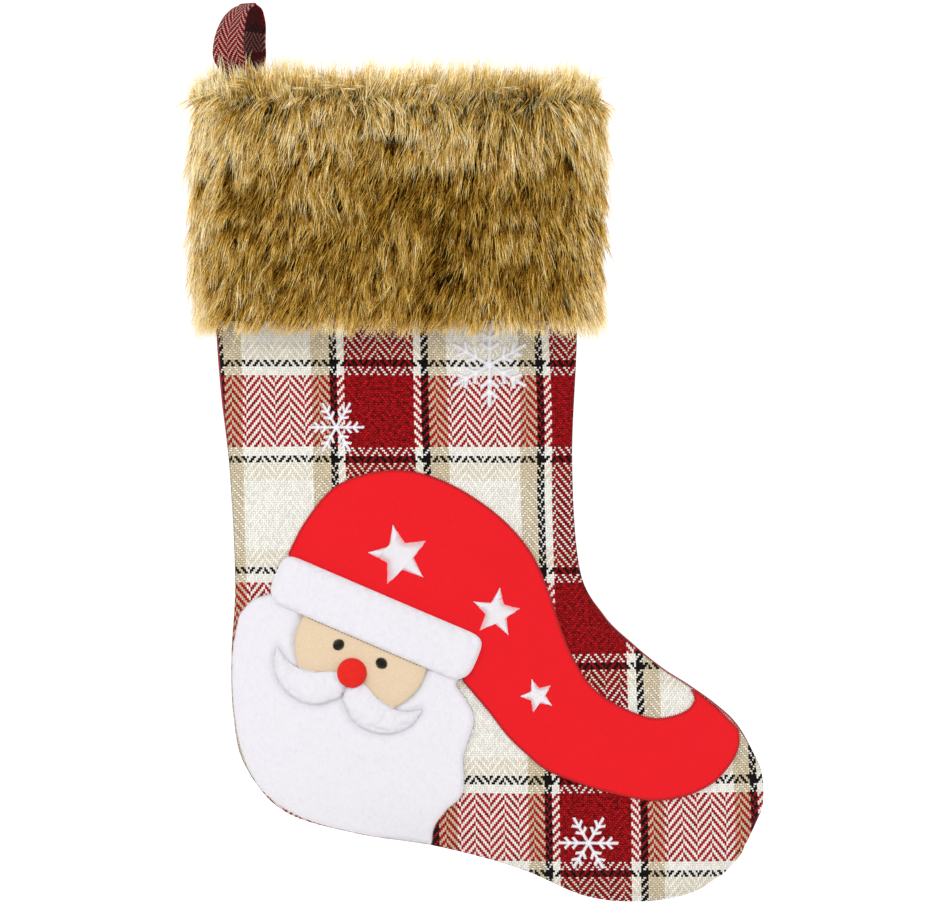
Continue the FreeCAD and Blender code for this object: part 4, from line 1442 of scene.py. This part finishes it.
def strap_point(side, height):
    """A point of the strap's profile: side across the eye, height above the hook seat, in mm."""
    return side * MM * eye_way + np.array([0, 0, height * MM])


def hanging_loop():
    """The folded strap of the loop, bending from its stitched root into the eye."""
    half = catmull_rom(np.array(STRAP_SIDE), np.linspace(0, len(STRAP_SIDE) - 1, STRAP_ROWS))
    whole = np.vstack([half, half[-2::-1] * np.array([-1, 1])])
    line = np.array([strap_point(side, height) for side, height in whole])
    above = ramp_up(whole[:, 1] + ROOT_DROP, ROOT_DROP)
    bow = np.where(whole[:, 0] < 0, BOW_FRONT, BOW_BACK) * np.sin(math.pi * above)
    line[:, 0] += LOOP_LEAN * above ** 1.5 - bow
    twist = np.linspace(TWIST_BACK, TWIST_FRONT, len(whole)) + CROWN_TURN * above ** 2
    twist = LOOP_TURN + twist * np.clip(above * 3, 0, 1)
    ways = np.stack([np.cos(twist), np.sin(twist), np.zeros(len(whole))], axis=1)
    narrow = 1 - CROWN_NARROW * above ** 7
    piece = swept_strap("hanging_loop_strap", line, ways, STRAP_WIDE, STRAP_THICK, narrow)
    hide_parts("hanging_loop")
    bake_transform(piece)


def loop_tail():
    """Both ends of the strap, laid together in the seam."""
    for side, word in SIDES:
        line = np.array([strap_point(side * TAIL_OUT, height) for height in np.linspace(*TAIL_HEIGHTS, 8)])
        ways = np.tile(strap_way, (len(line), 1))
        piece = swept_strap("loop_tail_" + word, line, ways, STRAP_WIDE * 0.98, TAIL_THICK)
        place_piece(piece, "loop_seam_tail")


def loop_bartack():
    """The bar of close stitches that holds the strap's ends, seen on both faces."""
    rows = []
    t = np.linspace(0, 1, BAR_RINGS)[:, None]
    for side in (-1, 1):
        bulge = side * eye_way[None] * 0.35 * MM * np.sin(math.pi * t)
        for across in np.arange(BAR_STITCHES) * BAR_PITCH - BAR_HALF:
            low = strap_point(side * BAR_OUT, BAR_HEIGHTS[0]) + strap_way * across * MM
            high = strap_point(side * BAR_OUT, BAR_HEIGHTS[1]) + strap_way * (across + BAR_SLANT) * MM
            rows.append(low[None] * (1 - t) + high[None] * t + bulge)
    lines = np.array(rows)
    wide = np.full(lines.shape[:2], 0.36 * MM)
    piece = tubes("loop_bartack_stitches", lines, wide, wide * 0.8, eye_way, 4, [threads["red_thread"]])
    place_piece(piece, "loop_bartack")


hanging_loop()
loop_tail()
loop_bartack()


# ------------------------------------------------------------------ the fur cuff's ground and facing
PILE_STAND = 9.0 * MM
SKIN_HALF_WIDE = (cuff_high[0] - cuff_low[0]) / 2 - PILE_STAND
SKIN_HALF_DEEP = CUFF_HALF_DEEP - PILE_STAND
SKIN_TOP = cuff_high[2] - 1.0 * MM
SKIN_BOTTOM = CUFF_BOTTOM + 4.0 * MM
SKIN_ROUND = 7.0 * MM
SKIN_THICK = 1.6 * MM
WALL_HIGH = SKIN_TOP - SKIN_ROUND - SKIN_BOTTOM
WALL_BELLY = 1.5 * MM
WALL_WAVE = 1.2 * MM
# The cuff's width at its lower edge, as a share, and how much it gains on the way up.
WALL_NARROW = 0.972
WALL_WIDENS = 0.042
MOUTH_HALF = STATIONS[0][1][0] / 2 * LEG
MOUTH_DEEP = STATIONS[0][2] * LEG
MOUTH_INSIDE = 3.2 * MM
MOUTH_DIP = 4.5 * MM
HEM_OUTSIDE = 3.0 * MM
HEM_RISE = 2 * MM
RING_COLUMNS = 121
FACING_GRID = (250, 61)
FACING_OUTSET = PANEL_THICK + LAYER_GAP + LINING_THICK + LAYER_GAP
FACING_THICK = 1.8 * MM
FACING_DROP = 41 * MM
FACING_LIP = 2 * MM


def ellipse_at(turn):
    """A point on the cuff's skin seen from above, and its outward normal."""
    place = np.stack([SKIN_HALF_WIDE * np.cos(turn), SKIN_HALF_DEEP * np.sin(turn)], axis=-1)
    normal = unit(np.stack([SKIN_HALF_DEEP * np.cos(turn), SKIN_HALF_WIDE * np.sin(turn)], axis=-1))
    return place, normal


def mouth_at(turn, grow):
    """A point on the pouch's outline seen from above, grown outwards."""
    half = MOUTH_HALF + grow
    deep = MOUTH_DEEP + grow
    radius = (half ** 2 + deep ** 2) / (2 * deep)
    x = half * np.cos(turn)
    y = np.sign(np.sin(turn)) * (np.sqrt(radius ** 2 - x ** 2) - (radius - deep))
    return np.stack([x, y], axis=-1)


def skin_point(turn, step):
    """A point on the cuff's skin: step runs 0-1 up its wall, 1-2 over its top and 2-3 in to the mouth."""
    place, normal = ellipse_at(turn)
    wall = np.clip(step, 0, 1)
    over = np.clip(step - 1, 0, 1) * math.pi / 2
    inward = np.clip(step - 2, 0, 1)
    z = SKIN_BOTTOM + WALL_HIGH * wall + SKIN_ROUND * np.sin(over)
    back = SKIN_ROUND * (1 - np.cos(over))
    belly = WALL_BELLY * np.sin(math.pi * wall) + WALL_WAVE * soft_noise(turn * 0.1, z, 30 * MM, 12)
    flat = place - normal * (back - belly * np.cos(over))[..., None]
    flat = flat * np.stack([WALL_NARROW + WALL_WIDENS * wall, np.ones_like(wall)], axis=-1)
    flat = flat * (1 - inward)[..., None] + mouth_at(turn, -MOUTH_INSIDE) * inward[..., None]
    return np.stack([flat[..., 0] + CUFF_MIDDLE_X, flat[..., 1], z - MOUTH_DIP * inward ** 2], axis=-1)


def skin_normal(turn, step):
    """The skin's outward direction there."""
    tip = np.clip(step - 1, 0, 1) * math.pi / 2
    flat = ellipse_at(turn)[1] * np.cos(tip)[..., None]
    return np.concatenate([flat, np.sin(tip)[..., None]], axis=-1)


def cuff_skin(name, node, side):
    """Half of the folded fur cloth, from its lower hem over the top to the mouth."""
    turn = np.linspace(0, math.pi, RING_COLUMNS) * side
    step = np.concatenate([np.linspace(0, 1, 40), np.linspace(1, 2, 9)[1:], np.linspace(2, 3, 8)[1:]])
    turns, steps = np.meshgrid(turn, step)
    outer = skin_point(turns, steps)
    inner = outer - skin_normal(turns, np.minimum(steps, 2)) * SKIN_THICK
    hem = mouth_at(turn, HEM_OUTSIDE)
    level = np.full(len(turn), SKIN_BOTTOM + HEM_RISE)
    hem_row = np.stack([hem[:, 0] + CUFF_MIDDLE_X, hem[:, 1], level], axis=1)
    outer = np.concatenate([hem_row[None], outer])
    inner = np.concatenate([hem_row[None] + np.array([0, 0, SKIN_THICK]), inner])
    piece = place_piece(closed_sheet(name, outer, inner, BACK, ground_knit), node)


def facing_half(name, side):
    """Half of the short-pile band inside the mouth."""
    grids = []
    for extra in (0.0, FACING_THICK):
        grid = pouch_sheet(side, FACING_OUTSET + extra, *FACING_GRID, pucker=False)
        grid = grid[grid[:, FACING_GRID[1] // 2, 2] > RIM_Z - FACING_DROP]
        grid[0, :, 2] += FACING_LIP
        grids.append(grid)
    piece = place_piece(closed_sheet(name, *grids, side, facing_pile), "cuff_facing")


# ------------------------------------------------------------------ the fur cuff's pile
CLUMPS = 10600
HAIRS_PER_CLUMP = 6
HAIRS_EACH = 7600
PILE_LONG = 21.0 * MM
PILE_SHORTEST = 8 * MM
HAIR_SPREAD = 1.5 * MM
HAIR_CURL = 0.8 * MM
LOOSE_HAIRS = 0.18
# Tips of a clump draw together to this share of their roots' spread; those of loose hairs fly apart.
TIP_DRAW = 0.42
LOOSE_DRAW = 1.5
# How far a clump lifts off the skin, as a share of its length.
LIFT = 0.55
LIFT_WAVE = 0.16
LIFT_LEAST = 0.25
# Sideways lean of the pile, as a share of its fall, and what sways it: locks, wide locks, single clumps.
LEAN = -0.2
LEAN_LOCK = 0.28
LEAN_WIDE = 0.3
LEAN_STRAY = 0.2
# Length of the pile above the parting and of the undercoat, as a share of the pile's length.
UP_LONG = 0.66
UNDER_LONG = 0.75
HANGS_PAST = 3.5 * MM
# Half width of a hair at each of its rings, in mm.
HAIR_HALF = [0.17, 0.17, 0.155, 0.11, 0.035]
PARTING_Z = RIM_Z - 1.0 * MM
PARTING_WAVE = 4.5 * MM
PARTING_BLUR = 3.6 * MM
# The share of the clumps that fills in the parting, where the pile would show its ground.
UNDERCOAT = 0.15
# Places where the pile has been pushed apart: X, Z and half width of each, in mm.
PARTED = [(2, -112, 15), (146, -112, 13), (78, -66, 20), (-20, -88, 8), (110, -140, 9)]
PARTED_HIGH = 11 * MM
# How pale the pile is by the distance of its roots below the rim, in mm, and along each hair.
ZONE_BELOW = [-8, 0, 3, 8, 16, 28, 50, 78, 105, 121]
ZONE_SHADE = [2.9, 2.0, 1.5, 1.7, 1.7, 0.6, 0.2, 0.1, 0.8, 2.8]
HAIR_SHADE = [0.9, 0.7, 2.9, 4.9]


def clump_places(count):
    """Where clumps stand: turn round the cuff, step up its skin, and which of them are undercoat."""
    turn = dice.uniform(0, 2 * math.pi, 4 * count)
    stretch = np.hypot(SKIN_HALF_WIDE * np.sin(turn), SKIN_HALF_DEEP * np.cos(turn))
    turn = turn[dice.random(4 * count) < stretch / SKIN_HALF_WIDE][:count]
    wall_share = WALL_HIGH / (SKIN_TOP - SKIN_BOTTOM + 8 * MM)
    step = dice.uniform(0, 1, count)
    past_wall = 1 + 1.6 * (step - wall_share) / (1 - wall_share)
    step = np.where(step < wall_share, step / wall_share, past_wall)
    under = dice.random(count) < UNDERCOAT
    return turn, np.where(under, dice.uniform(0.93, 1.5, count), step), under


def clump_lay(share, normal, up, lock, wide_lock):
    """The way each clump lies: up above the parting, along the skin and down below it."""
    lean = LEAN + 0.55 * np.clip(share - 0.3, 0, 1) - 0.3 * np.clip(-share - 0.3, 0, 1)
    lean = lean + 2.0 * np.clip(-share - 0.85, 0, 1)
    lean = np.where(up, 0.2 * share, lean) + LEAN_LOCK * lock + LEAN_WIDE * wide_lock
    lean = lean + LEAN_STRAY * dice.normal(0, 1, len(share))
    lay = np.stack([lean, np.zeros(len(share)), np.where(up, 1.0, -1.0)], axis=1)
    flat = lay - normal * np.sum(lay * normal, axis=1)[:, None]
    return unit(np.where(up[:, None], lay, flat))


def clump_stand(root, around, share, up, under, lock, wide_lock):
    """How far each clump lifts off the skin, as a share of its length, and that length."""
    z = root[:, 2]
    lift = LIFT + LIFT_WAVE * soft_noise(around, z, 5 * MM, 15) + 0.1 * dice.normal(0, 1, len(z))
    lift = lift - 0.1 * ramp_up(CUFF_BOTTOM + 30 * MM - z, 30 * MM)
    lift = np.where(up & (np.abs(share) > 0.93), 0.3, lift)
    long = PILE_LONG * (1 + 0.14 * lock + 0.12 * dice.normal(0, 1, len(z)))
    for x, height, half in PARTED:
        above = (z - height * MM) / PARTED_HIGH
        beside = np.abs(root[:, 0] - x * MM) / (half * MM)
        near = (above > 0) & (above < 1) & (beside < 1) & (root[:, 1] < 0)
        long = np.where(near, long * (0.38 + 0.5 * above + 0.3 * beside), long)
        lift = np.where(near, lift + 0.25, lift)
    long = np.where(up, (UP_LONG + 0.14 * wide_lock) * long, long)
    long = np.where(under, UNDER_LONG * long, long)
    # No hair below the parting hangs far past the cuff's lower edge.
    long = np.minimum(long, np.where(up, 1.0, (z - CUFF_BOTTOM + HANGS_PAST) * 1.25))
    return np.clip(lift, LIFT_LEAST, 1.0), np.maximum(long, PILE_SHORTEST)


def fur_hairs(count, hairs):
    """Lines and shades of clumped pile over the whole cuff."""
    turn, step, under = clump_places(count)
    root = skin_point(turn, step)
    normal = skin_normal(turn, np.minimum(step, 2))
    around = turn * SKIN_HALF_WIDE * 0.8
    share = (root[:, 0] - CUFF_MIDDLE_X) / SKIN_HALF_WIDE
    z = root[:, 2]
    lock = soft_noise(around, z, 7 * MM, 13)
    wide_lock = soft_noise(around, z, 22 * MM, 14)
    parting = PARTING_Z + PARTING_WAVE * soft_noise(around, around * 0, 26 * MM, 16)
    up = 1 / (1 + np.exp(-(z - parting) / PARTING_BLUR)) > dice.random(count)
    lay = clump_lay(share, normal, up, lock, wide_lock)
    lift, long = clump_stand(root, around, share, up, under, lock, wide_lock)
    # Each clump is repeated as several hairs whose roots spread and whose tips draw together.
    each = np.repeat(np.arange(count), hairs)
    spread = dice.normal(0, HAIR_SPREAD, (len(each), 3))
    spread -= normal[each] * np.sum(spread * normal[each], axis=1)[:, None]
    draw = np.where(dice.random(len(each)) < LOOSE_HAIRS, LOOSE_DRAW, TIP_DRAW)[:, None, None]
    own_long = (long[each] * dice.uniform(0.7, 1.12, len(each)))[:, None, None]
    t = np.linspace(0, 1, len(HAIR_HALF))[None, :, None]
    gather = 1 - (1 - draw) * t
    out = lift[each][:, None, None] * own_long * normal[each][:, None, :] * t * (1 - 0.4 * t)
    path = lay[each][:, None, :] * own_long * (0.3 * t + 0.55 * t ** 1.7)
    curl = dice.normal(0, HAIR_CURL, (len(each), 1, 3)) * t ** 2
    lines = root[each][:, None, :] + spread[:, None, :] * gather + out + path + curl
    vary = dice.normal(0, 0.7, count) - 1.7 * under + 0.9 * lock + 1.2 * wide_lock
    return lines, fur_shading(z[each], up[each], share[each], vary[each])


def fur_shading(z, up, share, vary):
    """Shade numbers along each hair: olive root, dark middle, golden tip, by height on the cuff."""
    below = (RIM_Z - z) / MM
    zone = np.interp(below, ZONE_BELOW, ZONE_SHADE) + vary
    zone = zone + 2.5 * ramp_up(-share - 0.76, 0.18) + 1.5 * ramp_up(share - 0.8, 0.15)
    shade = zone[:, None] + np.array([HAIR_SHADE])
    shade = np.clip(np.round(shade + dice.normal(0, 0.6, shade.shape)), 0, FUR_PALEST).astype(int)
    olive_share = np.interp(below, [20, 45], [0.6, 0.12])
    shade[:, 0] = np.where(dice.random(len(z)) < olive_share, FUR_OLIVE, shade[:, 0])
    olive = ((below < 18) | up) & (dice.random(len(z)) < 0.6)
    shade[:, 1] = np.where(olive, FUR_OLIVE_PALE, shade[:, 1])
    shade[:, 2] = np.where(olive & up & (dice.random(len(z)) < 0.5), FUR_OLIVE_PALE, shade[:, 2])
    return shade


def fur_pile():
    """All hairs, in pieces that stay light enough to hand on."""
    lines, shade = fur_hairs(CLUMPS, HAIRS_PER_CLUMP)
    for side, word in SIDES:
        mask = (lines[:, 0, 1] < 0) == (side == FRONT)
        own = lines[mask]
        own_shade = shade[mask]
        order = np.argsort(own[:, 0, 0])
        for number, first in enumerate(range(0, len(own), HAIRS_EACH), start=1):
            part = order[first:first + HAIRS_EACH]
            slim = np.array([HAIR_HALF]) * MM * dice.uniform(0.8, 1.25, (len(part), 1))
            facing = unit(dice.normal(0, 1, (len(part), 1, 3)))
            piece = tubes("fur_%s_%d" % (word, number), own[part], slim, slim, facing, 3, fur_shades,
                          own_shade[part])
            place_piece(piece, "cuff_" + word)


for side, word in SIDES:
    cuff_skin("cuff_%s_ground" % word, "cuff_" + word, side)
for side, word in SIDES:
    facing_half("facing_" + word, side)
fur_pile()
